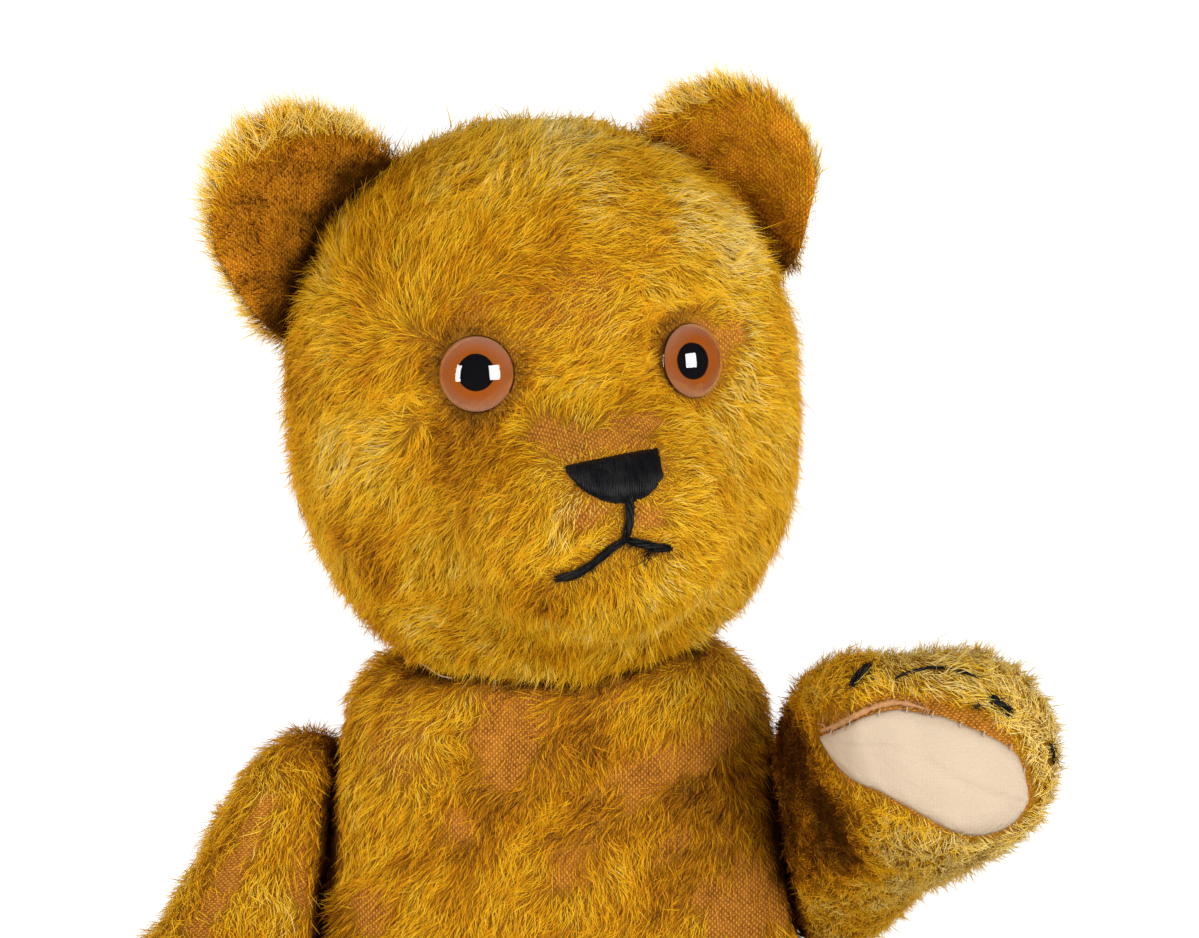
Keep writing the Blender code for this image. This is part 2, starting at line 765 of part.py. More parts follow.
MOHAIR = material("mohair", (0.45, 0.24, 0.03), 0.9)
EAR_MOHAIR = material("ear_mohair", (0.40, 0.17, 0.02), 0.9)
STUFFING = material("stuffing", (0.70, 0.58, 0.38), 1.0)
BOARD = material("hardboard", (0.30, 0.20, 0.12), 0.8)
STEEL = material("steel", (0.45, 0.44, 0.42), 0.4, 1.0)
GLASS = material("eye_glass", (0.35, 0.10, 0.03), 0.05)
BLACK_THREAD = material("black_thread", (0.01, 0.01, 0.01), 0.6)
PAD_COTTON = material("pad_cotton", (0.75, 0.62, 0.45), 0.9)

neck_cutters = joint_cutters(HEAD_PLACE, NECK_DISC)
all_cutters = [neck_cutters]
disc_joint("neck", HEAD_PLACE, NECK_DISC)

for side, word, swing in ((1, "left", RAISED_ARM), (-1, "right", LOWERED_ARM)):
    limbs = (
        ("arm_", "shoulder_", shoulder_place(side, swing), SHOULDER_DISC, ARM_RINGS, ARM_ENDS, paw),
        ("leg_", "hip_", hip_place(side, SEATED_LEG), HIP_DISC, LEG_RINGS, LEG_ENDS, foot),
    )
    for limb, joint, place, disc, limb_rings, limb_ends, end in limbs:
        cutters = joint_cutters(place, disc)
        all_cutters.append(cutters)
        form = limb_form(side, limb_rings, limb_ends)
        cover_and_stuffing(limb + word, form, place, cutters[:1], cutters[1:])
        disc_joint(joint + word, place, disc)
        end(side, word, place)

holes = [cutters[0] for cutters in all_cutters]
pockets = [cutter for cutters in all_cutters for cutter in cutters[1:]]
cover_and_stuffing("torso", torso_form(), Matrix.Identity(4), holes, pockets)

FORMS["head"] = head_form()
holes, pockets = neck_cutters[:1], neck_cutters[1:]
for word in EYES:
    place = HEAD_PLACE @ eye_place(word)
    for into, radius, depth in ((holes, EYE_HOLE, EYE_HOLE_DEPTH), (pockets, EYE_POCKET, EYE_POCKET_DEPTH)):
        into.append(put_cutter(cylinder(radius, -depth, EYE_POCKET, HOLE_SIDES), place))
cover_and_stuffing("head", FORMS["head"], HEAD_PLACE, holes, pockets)
head_cutter = put_cutter(offset_copy(FORMS["head"], -GAP), HEAD_PLACE)
for word in ("left", "right"):
    glass_eye(word, head_cutter)
    ear(word, head_cutter)
nose()
stitch("mouth_stitch", [muzzle_mark(x * MM, z * MM) for x, z in MOUTH], THREAD, HEAD_PLACE)
stitch("philtrum_stitch", [muzzle_mark(x * MM, z * MM) for x, z in PHILTRUM], THREAD, HEAD_PLACE)
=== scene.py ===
# %% [markdown]
# # A threadbare mohair bear
#
# The bear is a set of stuffed mohair bodies that turn on disc joints: a torso, a head, two arms and
# two legs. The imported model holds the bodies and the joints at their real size. This lesson gives
# each piece its finish: worn pile on a woven backing, glass eyes, stitched nose, mouth and claws,
# and cotton pads.

# %% Load the jointed bear
import json
import math

import bmesh
import bpy
import numpy as np
from mathutils import Matrix, Vector
from mathutils.bvhtree import BVHTree

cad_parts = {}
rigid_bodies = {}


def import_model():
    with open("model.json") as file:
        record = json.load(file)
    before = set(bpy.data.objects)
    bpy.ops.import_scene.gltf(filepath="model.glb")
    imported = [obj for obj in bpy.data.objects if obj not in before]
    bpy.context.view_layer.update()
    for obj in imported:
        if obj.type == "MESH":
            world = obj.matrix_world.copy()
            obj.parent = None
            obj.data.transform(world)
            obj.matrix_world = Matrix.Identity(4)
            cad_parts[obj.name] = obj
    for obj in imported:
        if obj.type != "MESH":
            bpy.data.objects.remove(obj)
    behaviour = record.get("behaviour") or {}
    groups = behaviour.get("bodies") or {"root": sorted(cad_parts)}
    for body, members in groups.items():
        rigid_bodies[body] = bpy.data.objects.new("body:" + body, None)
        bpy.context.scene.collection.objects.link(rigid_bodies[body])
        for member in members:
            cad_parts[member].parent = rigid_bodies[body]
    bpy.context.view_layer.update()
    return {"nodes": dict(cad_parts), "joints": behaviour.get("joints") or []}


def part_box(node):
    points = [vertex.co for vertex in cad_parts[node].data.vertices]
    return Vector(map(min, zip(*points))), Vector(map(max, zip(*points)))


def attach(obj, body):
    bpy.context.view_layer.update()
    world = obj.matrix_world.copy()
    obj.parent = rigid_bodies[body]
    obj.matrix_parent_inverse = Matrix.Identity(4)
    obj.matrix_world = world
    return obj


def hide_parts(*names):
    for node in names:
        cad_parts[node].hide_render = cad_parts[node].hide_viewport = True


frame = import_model()
nodes = frame["nodes"]
MM = 0.001

# %% [markdown]
# Each soft body has a frame of its own, because wear, stitches and the lie of the pile follow the
# body and not the room. The head's frame sits on the neck joint and faces the way the head is
# turned. A limb's frame has X along the limb and Z out from the torso. All of them come from the
# joints' positions and axes.

# %% Frames of the bodies
HEAD_TURN = 11  # degrees that the head is turned on its joint
RAISED_ARM = 111.5  # degrees forward of hanging straight down
LOWERED_ARM = 42
SEATED_LEG = 90
JOINTS = {j["name"]: (Vector(j["pos_m"]), Vector(j["axis"]).normalized()) for j in frame["joints"]}


def place_from(x_axis, y_axis, z_axis, origin):
    place = Matrix((x_axis, y_axis, z_axis)).transposed().to_4x4()
    place.translation = origin
    return place


def head_frame():
    origin, up = JOINTS["neck_turn"]
    side = Vector((0, 1, 0)).cross(up).normalized()
    level = place_from(side, up.cross(side), up, origin)
    return level @ Matrix.Rotation(math.radians(HEAD_TURN), 4, "Z")


def limb_frame(joint, side, swing):
    centre, axis = JOINTS[joint]
    out = axis * side
    down = Vector((0, 0, -1))
    down = (down - out * down.dot(out)).normalized()
    forward = out.cross(down)
    if forward.y > 0:
        forward = -forward
    along = down * math.cos(math.radians(swing)) + forward * math.sin(math.radians(swing))
    return place_from(along, out.cross(along), out, centre)


FRAMES = {
    "torso": Matrix.Identity(4),
    "head": head_frame(),
    "arm_left": limb_frame("shoulder_left_turn", 1, RAISED_ARM),
    "arm_right": limb_frame("shoulder_right_turn", -1, LOWERED_ARM),
    "leg_left": limb_frame("hip_left_turn", 1, SEATED_LEG),
    "leg_right": limb_frame("hip_right_turn", -1, SEATED_LEG),
}
JOINT_OF = {
    "head": "neck_turn",
    "arm_left": "shoulder_left_turn",
    "arm_right": "shoulder_right_turn",
    "leg_left": "hip_left_turn",
    "leg_right": "hip_right_turn",
}
print("frames of", ", ".join(FRAMES))

# %% [markdown]
# Most of the work below reads and writes whole meshes as arrays: thousands of points at once, which
# is the quick way in Blender. These helpers do that, and put plain maths such as smooth steps and
# wavy noise in one place. The noise is a sum of slanted sine waves with fixed directions, so it is
# the same each time.

# %% Array helpers


def read(items, key, width=1, kind=np.float32):
    """One property of all the items: a number each, or a row of this width."""
    values = np.empty(len(items) * width, kind)
    items.foreach_get(key, values)
    return values.reshape(-1, width) if width > 1 else values


def points_of(mesh):
    return read(mesh.vertices, "co", 3).astype(float)


def normals_of(mesh):
    return read(mesh.vertex_normals, "vector", 3).astype(float)


def corners_of(mesh):
    """The vertex at each corner of each face."""
    return read(mesh.loops, "vertex_index", kind=np.int32)


def set_points(mesh, points):
    mesh.vertices.foreach_set("co", points.astype(np.float32).ravel())
    mesh.update()


def store(mesh, name, values):
    """Keeps a number or a vector for each vertex as a named attribute."""
    kind, field = ("FLOAT", "value") if values.ndim == 1 else ("FLOAT_VECTOR", "vector")
    made = mesh.attributes.get(name) or mesh.attributes.new(name, kind, "POINT")
    made.data.foreach_set(field, values.astype(np.float32).ravel())


def field(mesh, name):
    return read(mesh.attributes[name].data, "value").astype(float)


def vectors(mesh, name):
    return read(mesh.attributes[name].data, "vector", 3).astype(float)


def add_map(mesh, name, spots):
    """A UV map with one spot for each corner."""
    layer = mesh.uv_layers.new(name=name, do_init=False)
    layer.uv.foreach_set("vector", spots.astype(np.float32).ravel())


def local_points(points, place):
    inverse = np.array(place.inverted())
    return points @ inverse[:3, :3].T + inverse[:3, 3]


def turned(vectors, place):
    return vectors @ np.array(place)[:3, :3].T


def unit(vectors):
    return vectors / np.maximum(np.linalg.norm(vectors, axis=-1, keepdims=True), 1e-9)


def step(value, low, high):
    share = np.clip((value - low) / (high - low), 0, 1)
    return share * share * (3 - 2 * share)


def waves(points, size, seed, count=9):
    """Smooth noise from about -1 to 1, with bumps of about this size."""
    chance = np.random.default_rng(seed)
    ways = unit(chance.normal(size=(count, 3)))
    pitch = 2 * math.pi / size * chance.uniform(0.6, 1.5, count)
    start = chance.uniform(0, 2 * math.pi, count)
    return np.sin(points @ ways.T * pitch + start).sum(1) / math.sqrt(count)


def tree_over(*meshes):
    """A search tree over meshes, for distances and rays."""
    points, faces = [], []
    for mesh in meshes:
        faces += [[len(points) + i for i in p.vertices] for p in mesh.polygons]
        points += [v.co.copy() for v in mesh.vertices]
    return BVHTree.FromPolygons(points, faces)


def tree_of(*names):
    """A search tree over CAD nodes."""
    return tree_over(*(nodes[name].data for name in names))


def gap_to(tree, points, reach):
    """Each point's distance to the tree's surface, or the reach where it is further."""
    gaps = np.full(len(points), float(reach))
    for k, point in enumerate(points):
        found = tree.find_nearest(point, reach)[3]
        if found is not None:
            gaps[k] = found
    return gaps


def away_from(tree, points, reach):
    """The direction from the tree's nearest point to each point, zero out of reach."""
    ways = np.zeros_like(points)
    for k, point in enumerate(points):
        near = tree.find_nearest(point, reach)[0]
        if near is not None:
            ways[k] = point - np.array(near)
    return ways


def in_frame(points, place):
    """Points of a body's own frame, in the room."""
    return turned(np.asarray(points, float), place) + np.array(place.translation)


print("helpers ready")

# %% [markdown]
# Finishes are node materials. A small helper adds nodes by type and wires their inputs, so that
# each recipe below reads from the pattern to the shader. The same helper builds Geometry Nodes
# trees later on.

# %% Node helper


class Wiring:
    """Adds nodes to a tree. An input is a value, or another node's socket."""

    def __init__(self, tree):
        self.tree = tree

    def __call__(self, kind, settings=None, out=0, **inputs):
        node = self.tree.nodes.new(kind)
        for key, value in (settings or {}).items():
            setattr(node, key, value)
        for key, value in inputs.items():
            self.join(node, key, value)
        if isinstance(out, str):
            return self.pick(node.outputs, out)
        return node.outputs[out] if out is not None and node.outputs else node

    @staticmethod
    def pick(sockets, key):
        """A socket by its name, with _ for a space, or by its number as i3."""
        if key[0] == "i" and key[1:].isdigit():
            return sockets[int(key[1:])]
        name = key.replace("_", " ").lower()
        found = [s for s in sockets if s.name.lower() == name]
        usable = [s for s in found if s.enabled and not s.is_unavailable]
        return (usable or found)[0]

    def join(self, node, key, value):
        socket = self.pick(node.inputs, key)
        if isinstance(value, bpy.types.NodeSocket):
            self.tree.links.new(value, socket)
        else:
            socket.default_value = value

    def maths(self, operation, *terms):
        inputs = {f"i{k}": term for k, term in enumerate(terms)}
        kind = "ShaderNodeMath"
        return self(kind, {"operation": operation}, **inputs)

    def vector(self, operation, *terms, out=0):
        inputs = {f"i{k}": term for k, term in enumerate(terms)}
        if operation == "SCALE":
            inputs = {"i0": terms[0], "Scale": terms[1]}
        return self("ShaderNodeVectorMath", {"operation": operation}, out=out, **inputs)


def finish_tree(name):
    """A new material with its shader, and the wiring to add its pattern."""
    made = bpy.data.materials.new(name)
    made.use_nodes = True
    made.node_tree.nodes.clear()
    wire = Wiring(made.node_tree)
    shader = made.node_tree.nodes.new("ShaderNodeBsdfPrincipled")
    wire("ShaderNodeOutputMaterial", Surface=shader.outputs[0])
    return made, wire, shader


def ramp(wire, factor, stops):
    """Colours at places from 0 to 1."""
    node = wire.tree.nodes.new("ShaderNodeValToRGB")
    wire.join(node, "Fac", factor)
    band = node.color_ramp.elements
    band.remove(band[0])
    band[0].position, band[0].color = stops[0][0], (*stops[0][1], 1)
    for place, colour in stops[1:]:
        band.new(place).color = (*colour, 1)
    return node.outputs[0]


def attribute(wire, name):
    return wire("ShaderNodeAttribute", {"attribute_name": name}, out="Fac")


def noise(wire, place, scale, detail=2.0, **more):
    return wire("ShaderNodeTexNoise", out="Fac", Vector=place, Scale=scale, Detail=detail, **more)


def fade(wire, value, low=0.0, high=1.0, **more):
    """From 0 to 1, or from To_Min to To_Max, while the value goes from low to high."""
    kind = "ShaderNodeMapRange"
    return wire(kind, out="Result", Value=value, From_Min=low, From_Max=high, **more)


def blend(wire, share, first, second):
    return wire("ShaderNodeMix", {"data_type": "RGBA"}, out="Result", i0=share, i6=first, i7=second)


def dress(wire, shader, colour, roughness, specular=None):
    wire.join(shader, "Base Color", colour)
    shader.inputs["Roughness"].default_value = roughness
    if specular is not None:
        shader.inputs["Specular IOR Level"].default_value = specular


def emboss(wire, shader, height, strength, depth):
    bump = wire("ShaderNodeBump", Strength=strength, Distance=depth, Height=height)
    wire.join(shader, "Normal", bump)


def set_surface(wire, surface):
    output = next(node for node in wire.tree.nodes if node.type == "OUTPUT_MATERIAL")
    wire.join(output, "Surface", surface)


def geometry_tree(name, takes, inputs, makes):
    """A Geometry Nodes tree with its sockets, its wiring, and its inputs by name."""
    tree = bpy.data.node_groups.new(name, "GeometryNodeTree")
    for title, kind, *default in ((takes, "Geometry"), *inputs):
        socket = tree.interface.new_socket(
            name=title, in_out="INPUT", socket_type="NodeSocket" + kind
        )
        if default:
            socket.default_value = default[0]
    tree.interface.new_socket(name=makes, in_out="OUTPUT", socket_type="NodeSocketGeometry")
    given = tree.nodes.new("NodeGroupInput")
    return tree, Wiring(tree), {socket.name: socket for socket in given.outputs}


def run_tree(source, tree, values):
    """The mesh that a tree with these inputs makes of an object. The object itself goes."""
    modifier = source.modifiers.new(tree.name, "NODES")
    modifier.node_group = tree
    for item in tree.interface.items_tree:
        if item.in_out == "INPUT" and item.name in values:
            modifier[item.identifier] = values[item.name]
    return settled(source)


def plain_weave(wire, coordinates, pitch):
    """Height of a plain weave: each thread is round, and goes over one and under one."""
    counted = wire.vector("SCALE", coordinates, 1 / pitch)
    x, y, _ = wire("ShaderNodeSeparateXYZ", out=None, Vector=counted).outputs
    checks = wire.maths("ADD", wire.maths("FLOOR", x), wire.maths("FLOOR", y))
    over = wire.maths("PINGPONG", checks, 1.0)
    under = wire.maths("SUBTRACT", 1.0, over)
    heights = []
    for value, crossing, rise, least in ((x, over, 0.7, 0.3), (y, under, 0.25, 0.2)):
        wave = wire.maths("SINE", wire.maths("MULTIPLY", value, math.pi))
        thread = wire.maths("POWER", wire.maths("ABSOLUTE", wave), 0.7)
        height = wire.maths("MULTIPLY_ADD", crossing, rise, least)
        heights.append(wire.maths("MULTIPLY", thread, height))
    return wire.maths("MAXIMUM", *heights)


print("wiring ready")

# %% [markdown]
# ## The cloth bodies
#
# A real body is cut from mohair cloth, sewn, turned and packed hard with wood wool. The packed
# model's covers have the right size but flat facets. Each is copied without its inner wall,
# remeshed into small even squares, and blown up a little in a short cloth simulation, so that the
# cloth is stretched over its filling as the real one is. Cloth near a joint is pinned, because the
# disc clamps it flat.

# %% Outer wall of a cover
BODIES = ("torso", "head", "arm_left", "arm_right", "leg_left", "leg_right")
PIN_HOLE = 3.2 * MM
EYE_HOLE = 6 * MM
VOXEL = 6 * MM


def new_object(name, mesh):
    made = bpy.data.objects.new(name, mesh)
    bpy.context.scene.collection.objects.link(made)
    return made


def settled(source):
    """The object's mesh with its modifiers applied. The object itself goes."""
    graph = bpy.context.evaluated_depsgraph_get()
    mesh = bpy.data.meshes.new_from_object(source.evaluated_get(graph))
    bpy.data.objects.remove(source)
    return mesh


def subdivided(name, mesh, levels):
    source = new_object(name, mesh)
    fine = source.modifiers.new("Fine", "SUBSURF")
    fine.levels = fine.render_levels = levels
    return settled(source)


def mesh_from(form, name):
    """A mesh of what was built with bmesh."""
    mesh = bpy.data.meshes.new(name)
    form.to_mesh(mesh)
    form.free()
    return mesh


def middle(node):
    low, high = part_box(node)
    return (low + high) / 2


def in_hole(face, body):
    """Whether a face is the short wall of a hole for a pin or an eye's wire."""
    for joint, (centre, axis) in JOINTS.items():
        offsets = [v.co - centre for v in face.verts]
        if all((o - axis * o.dot(axis)).length < PIN_HOLE for o in offsets):
            return True
    if body != "head":
        return False
    eyes = [middle("eye_left"), middle("eye_right")]
    return any(all((v.co - eye).length < EYE_HOLE for v in face.verts) for eye in eyes)


def island_from(start, seen):
    found, waiting = [], [start]
    while waiting:
        face = waiting.pop()
        if face in seen:
            continue
        seen.add(face)
        found.append(face)
        waiting += [other for edge in face.edges for other in edge.link_faces if other not in seen]
    return found


def outer_wall(body):
    form = bmesh.new()
    form.from_mesh(nodes[body + "_cover"].data)
    bmesh.ops.remove_doubles(form, verts=form.verts, dist=0.001 * MM)
    walls = [face for face in form.faces if in_hole(face, body)]
    bmesh.ops.delete(form, geom=walls, context="FACES")
    seen, islands = set(), []
    for face in form.faces:
        if face not in seen:
            islands.append(island_from(face, seen))
    outer = max(islands, key=lambda faces: sum(face.calc_area() for face in faces))
    inner = [face for faces in islands if faces is not outer for face in faces]
    bmesh.ops.delete(form, geom=inner, context="FACES")
    bmesh.ops.holes_fill(form, edges=[edge for edge in form.edges if edge.is_boundary])
    bmesh.ops.recalc_face_normals(form, faces=form.faces)
    mesh = mesh_from(form, body + "_skin")
    print(body, "outer wall:", len(mesh.polygons), "faces")
    return mesh


# %% Stretch the cloth over its filling
PUFF_FRAMES = 12
CLOTH = {
    "quality": 4,
    "use_pressure": True,
    "uniform_pressure_force": 3.0,
    "vertex_group_mass": "held",
    "tension_stiffness": 15,
    "bending_stiffness": 0.5,
}
PUFF_CAP = 1.4 * MM
SINK_CAP = 0.5 * MM
JOINT_HOLD = 34 * MM  # cloth this close to a joint's axis and plane is clamped
HOLD_FADE = (0.75, 1.3)  # where the cloth comes free, as shares of that reach
SEAT = 4 * MM
LUMP = 0.7 * MM
LUMP_SIZE = 26 * MM
SHRINK = 0.35 * MM  # how far inside the wall the finished cloth may lie


def clamped(body, points):
    """How free each point is: 0 where a joint or the seat holds the cloth, 1 elsewhere."""
    free = step(points[:, 2], SEAT, 3 * SEAT) if body == "torso" else np.ones(len(points))
    for joint, (centre, axis) in JOINTS.items():
        if body != "torso" and joint != JOINT_OF[body]:
            continue
        offsets = points - np.array(centre)
        along = offsets @ np.array(axis)
        round_axis = np.linalg.norm(offsets - along[:, None] * np.array(axis), axis=1)
        near = np.maximum(round_axis / JOINT_HOLD, np.abs(along) / (3 * SEAT))
        free = np.minimum(free, step(near, *HOLD_FADE))
    return free


def stretched(body, mesh):
    """The mesh after the simulation, with each point's move capped."""
    rest = points_of(mesh)
    free = clamped(body, rest)
    normals = normals_of(mesh)
    cloth_object = new_object(body + "_cloth", mesh)
    held = cloth_object.vertex_groups.new(name="held")
    for index in np.flatnonzero(free < 0.5):
        held.add([int(index)], 1.0, "REPLACE")
    cloth = cloth_object.modifiers.new("Stretch", "CLOTH")
    for key, value in CLOTH.items():
        setattr(cloth.settings, key, value)
    cloth.settings.effector_weights.gravity = 0
    for number in range(1, PUFF_FRAMES + 1):
        bpy.context.scene.frame_set(number)
    moves = points_of(settled(cloth_object)) - rest
    bpy.context.scene.frame_set(1)
    lengths = np.linalg.norm(moves, axis=1, keepdims=True)
    moves *= np.minimum(1, PUFF_CAP / np.maximum(lengths, 1e-9))
    lump = waves(rest, LUMP_SIZE, 11) * LUMP
    out = np.clip((moves * normals).sum(1) + lump, -SINK_CAP, PUFF_CAP) * free
    print(body, "cloth moved by up to", round(float(out.max()) / MM, 2), "mm")
    return rest + normals * out[:, None]


def hold_out(mesh, wall):
    """Moves points that smoothing drew in through the wall back out to it."""
    tree = tree_over(wall)
    points = points_of(mesh)
    for k, point in enumerate(points):
        near, way = tree.find_nearest(point)[:2]
        if (Vector(point) - near).dot(way) < -SHRINK:
            points[k] = near - way * SHRINK
    set_points(mesh, points)


def skin_mesh(body):
    wall = outer_wall(body)
    source = new_object(body + "_wall", wall)
    remesh = source.modifiers.new("Even squares", "REMESH")
    remesh.mode = "VOXEL"
    remesh.voxel_size = VOXEL
    source.modifiers.new("Soften", "SMOOTH").iterations = 2
    even = settled(source)
    set_points(even, stretched(body, even))
    mesh = subdivided(body + "_coarse", even, 1)
    hold_out(mesh, wall)
    mesh.name = body + "_skin"
    mesh.shade_smooth()
    return mesh


BUNCH = (9.0, -13.0, -1.0)  # mm along, across and out in the raised arm's frame


def bunched(mesh):
    """The raised arm's filling has crept up: its upper inner side stands proud up to the paw."""
    place = FRAMES["arm_left"]
    local = local_points(points_of(mesh), place) / MM
    along, across, out = local.T
    share = step(along, 4, 42) * (1 - step(out, 11, 40)) * (1 - step(across, -15, 11))
    share *= 0.7 + 0.3 * step(out, -2, 17)
    set_points(mesh, in_frame((local + share[:, None] * BUNCH) * MM, place))


SKINS = {body: skin_mesh(body) for body in BODIES}
bunched(SKINS["arm_left"])
for body, mesh in SKINS.items():
    print(body, "skin:", len(mesh.polygons), "faces")

# %% [markdown]
# ## Where the pile is worn
#
# Mohair wears away where a bear is held: over the chest, on the forehead, round the nose, along the
# arms. Each worn place is an oval in its body's own frame, with a ragged edge. Four values are kept
# for each point of the cloth: cover, how much pile is left; pile, how long it is; tone, from dark
# old gold to pale straw; and comb, the way it lies.

# %% Worn places
PILE = 7.4 * MM

# One row a place: the two coordinates of its middle, its two half sizes, its turn in degrees, and
# how much pile is gone. Head and torso: across and up. Arms: along and out.
WORN = {
    "torso": (
        (-13, 181, 10.5, 12.5, 2, 1.0),
        (-13, 175, 10, 9, 0, 0.6),
        (31, 174.5, 23, 6.2, 25, 1.0),
        (33, 203, 11, 2.6, 22, 0.9),
        (22, 169, 7, 6, 30, 0.8),
        (51, 137, 13, 13, -10, 0.95),
        (-25.5, 158, 5, 4.2, 0, 0.95),
        (-49, 136, 5, 7.5, 12, 0.95),
        (15, 191, 6, 5, 0, 0.4),
        (5, 150, 9, 7, 40, 0.45),
        (-38, 178, 7, 12, 10, 0.35),
        (12, 112, 14, 10, 0, 0.7),
        (-30, 96, 12, 9, 30, 0.6),
        (-45, 175, 7, 9, 0, 0.6),
        (2, 147, 4, 3.5, 20, 0.8),
        (30, 152, 7, 4, 30, 0.6),
    ),
    "head": (
        (0, 105, 15, 9, 4, 0.55),
        (-24, 108, 7, 4.5, 15, 0.45),
        (-8, 76.6, 9, 3.6, -6, 1.0),
        (9, 77.6, 9, 3.4, 4, 0.95),
        (1, 76.6, 6, 3.0, 0, 0.85),
        (-7.5, 60.8, 5, 3.2, 25, 0.9),
        (8.5, 59.5, 4.2, 3, -20, 0.9),
        (42, 93, 5.5, 4.5, 0, 0.75),
        (-17.3, 134.6, 1.8, 0.9, 20, 1.0),
        (20, 124, 14, 7, -20, 0.3),
    ),
    "arm_left": ((74, 22, 12, 7, 20, 0.5), (40, 30, 12, 5, 0, 0.7)),
    "arm_right": (
        (26, 25, 26, 3.6, 19, 0.95),
        (24, 6, 7, 2.8, -8, 0.85),
        (70, 45, 14, 6, 10, 0.6),
    ),
    "leg_left": ((70, 20, 16, 8, 0, 0.6), (118, 30, 10, 6, 20, 0.5)),
    "leg_right": ((60, 24, 14, 7, 0, 0.6), (110, 26, 12, 6, -20, 0.5)),
}
FACING = {"torso": (0, -1, 0), "head": (0, -1, 0), "arm_left": (0, -1, 0), "arm_right": (0, 1, 0)}
SQUARENESS = 2.6  # a worn place's outline: 2 is an ellipse, and more is squarer
EDGE_BAND = (0.82, 1.12)  # where its edge begins and ends, in half sizes
EDGE_RAGGED, EDGE_FRAYED = 0.28, 0.12
EDGE_SIZE = 7 * MM
IN_FRONT = (0.0, 0.35)  # how far cloth must face the front to be worn, none and fully


def worn_away(body, points, normals):
    """How much pile is gone at each point, from 0 to 1."""
    place = FRAMES[body]
    local = local_points(points, place) / MM
    limb = body.startswith(("arm", "leg"))
    flat = local[:, [0, 2]]
    facing = turned(np.array(FACING.get(body, (0, 0, 1)), float)[None], place)[0]
    seen = step(normals @ facing, *IN_FRONT)
    ragged = waves(points, EDGE_SIZE, 21) * EDGE_RAGGED
    ragged = ragged + waves(points, EDGE_SIZE / 3, 22) * EDGE_FRAYED
    gone = np.zeros(len(points))
    for x, y, half_x, half_y, turn, share in WORN[body]:
        c, s = math.cos(math.radians(turn)), math.sin(math.radians(turn))
        u, v = flat[:, 0] - x, flat[:, 1] - y
        u, v = (u * c + v * s) / half_x, (v * c - u * s) / half_y
        reach = (np.abs(u) ** SQUARENESS + np.abs(v) ** SQUARENESS) ** (1 / SQUARENESS)
        gone = np.maximum(gone, share * (1 - step(reach + ragged, *EDGE_BAND)))
    if limb and body not in FACING:
        seen = np.ones(len(points))
    return gone * seen


# %% The lie of the pile
SWIRL = 30 * MM
SWIRL_PULL, FINE_SWIRL = 0.4, 0.6
TORSO_LIE = (-0.25, 0, -1.0)
LIMB_END = {"arm": 84, "leg": 128}  # mm along a limb, where the pile begins to turn outwards
LIE_REACH = 15  # mm over which one row of the table below fades into the next

# One row a place on the head's front: across and up, then the way that the pile lies there.
HEAD_LIE = (
    (5, 116, 1.0, -0.12),
    (-24, 110, 0.9, 0.25),
    (-42, 122, 0.7, 0.75),
    (-10, 134, 0.9, 0.5),
    (30, 128, 1.0, -0.35),
    (46, 108, 0.8, -0.65),
    (-55, 107, -0.75, 0.3),
    (-58, 90, -0.6, -0.6),
    (-50, 60, -0.6, -0.75),
    (-40, 78, -0.3, -0.95),
    (52, 92, 0.7, -0.6),
    (54, 62, 0.45, -0.9),
    (0, 28, -0.25, -1.0),
    (-30, 36, -0.6, -0.8),
    (32, 34, 0.5, -0.85),
    (2, 95, 0.75, 0.6),
    (6, 84, 0.85, 0.45),
    (-14, 84, -0.3, 0.5),
    (-26, 74, -0.5, -0.8),
    (30, 74, 0.6, -0.7),
    (-18, 56, -0.75, -0.6),
    (20, 56, 0.75, -0.55),
    (2, 42, -0.1, -1.0),
)


def tangent(vectors, normals):
    return unit(vectors - normals * (vectors * normals).sum(1, keepdims=True))


def head_lie(local):
    total, lie = np.full(len(local), 1e-6), np.zeros((len(local), 3))
    for x, z, way_x, way_z in HEAD_LIE:
        apart = (local[:, 0] - x) ** 2 + (local[:, 2] - z) ** 2
        near = np.exp(-apart / (2 * LIE_REACH**2))
        lie += near[:, None] * (way_x, 0.1, way_z)
        total += near
    lie /= total[:, None]
    back = step(local[:, 1], -6, 26)[:, None]
    top = step(local[:, 2], 122, 138)[:, None]
    behind = np.array((0, 0.25, -1.0)) * (1 - top) + np.array((0.15, 1.0, 0)) * top
    return unit(lie) * (1 - back) + behind * back


def combed(body, points, normals):
    """The direction that the pile lies in, along the cloth."""
    place = FRAMES[body]
    local = local_points(points, place) / MM
    if body == "head":
        lie = head_lie(local)
    elif body == "torso":
        lie = np.tile(TORSO_LIE, (len(points), 1))
        lie[:, 0] += local[:, 0] / 160 - 0.5 * step(local[:, 0], 5, 40)
    else:
        lie = np.tile((1.0, 0, 0), (len(points), 1))
        end = LIMB_END[body[:3]]
        lie[:, 2] += step(local[:, 0], end - 25, end + 10) * 0.6
    lie = turned(lie, place)
    swirl = np.stack([waves(points, SWIRL, seed) for seed in (31, 32, 33)], 1)
    swirl += FINE_SWIRL * np.stack([waves(points, SWIRL / 3, seed) for seed in (34, 35, 36)], 1)
    return tangent(tangent(lie, normals) + swirl * SWIRL_PULL, normals)


# %% Room for the pile
REACH = 14 * MM
HEAD_DETAILS = ("eye_left", "eye_right", "nose_stitching", "mouth_stitch", "philtrum_stitch")
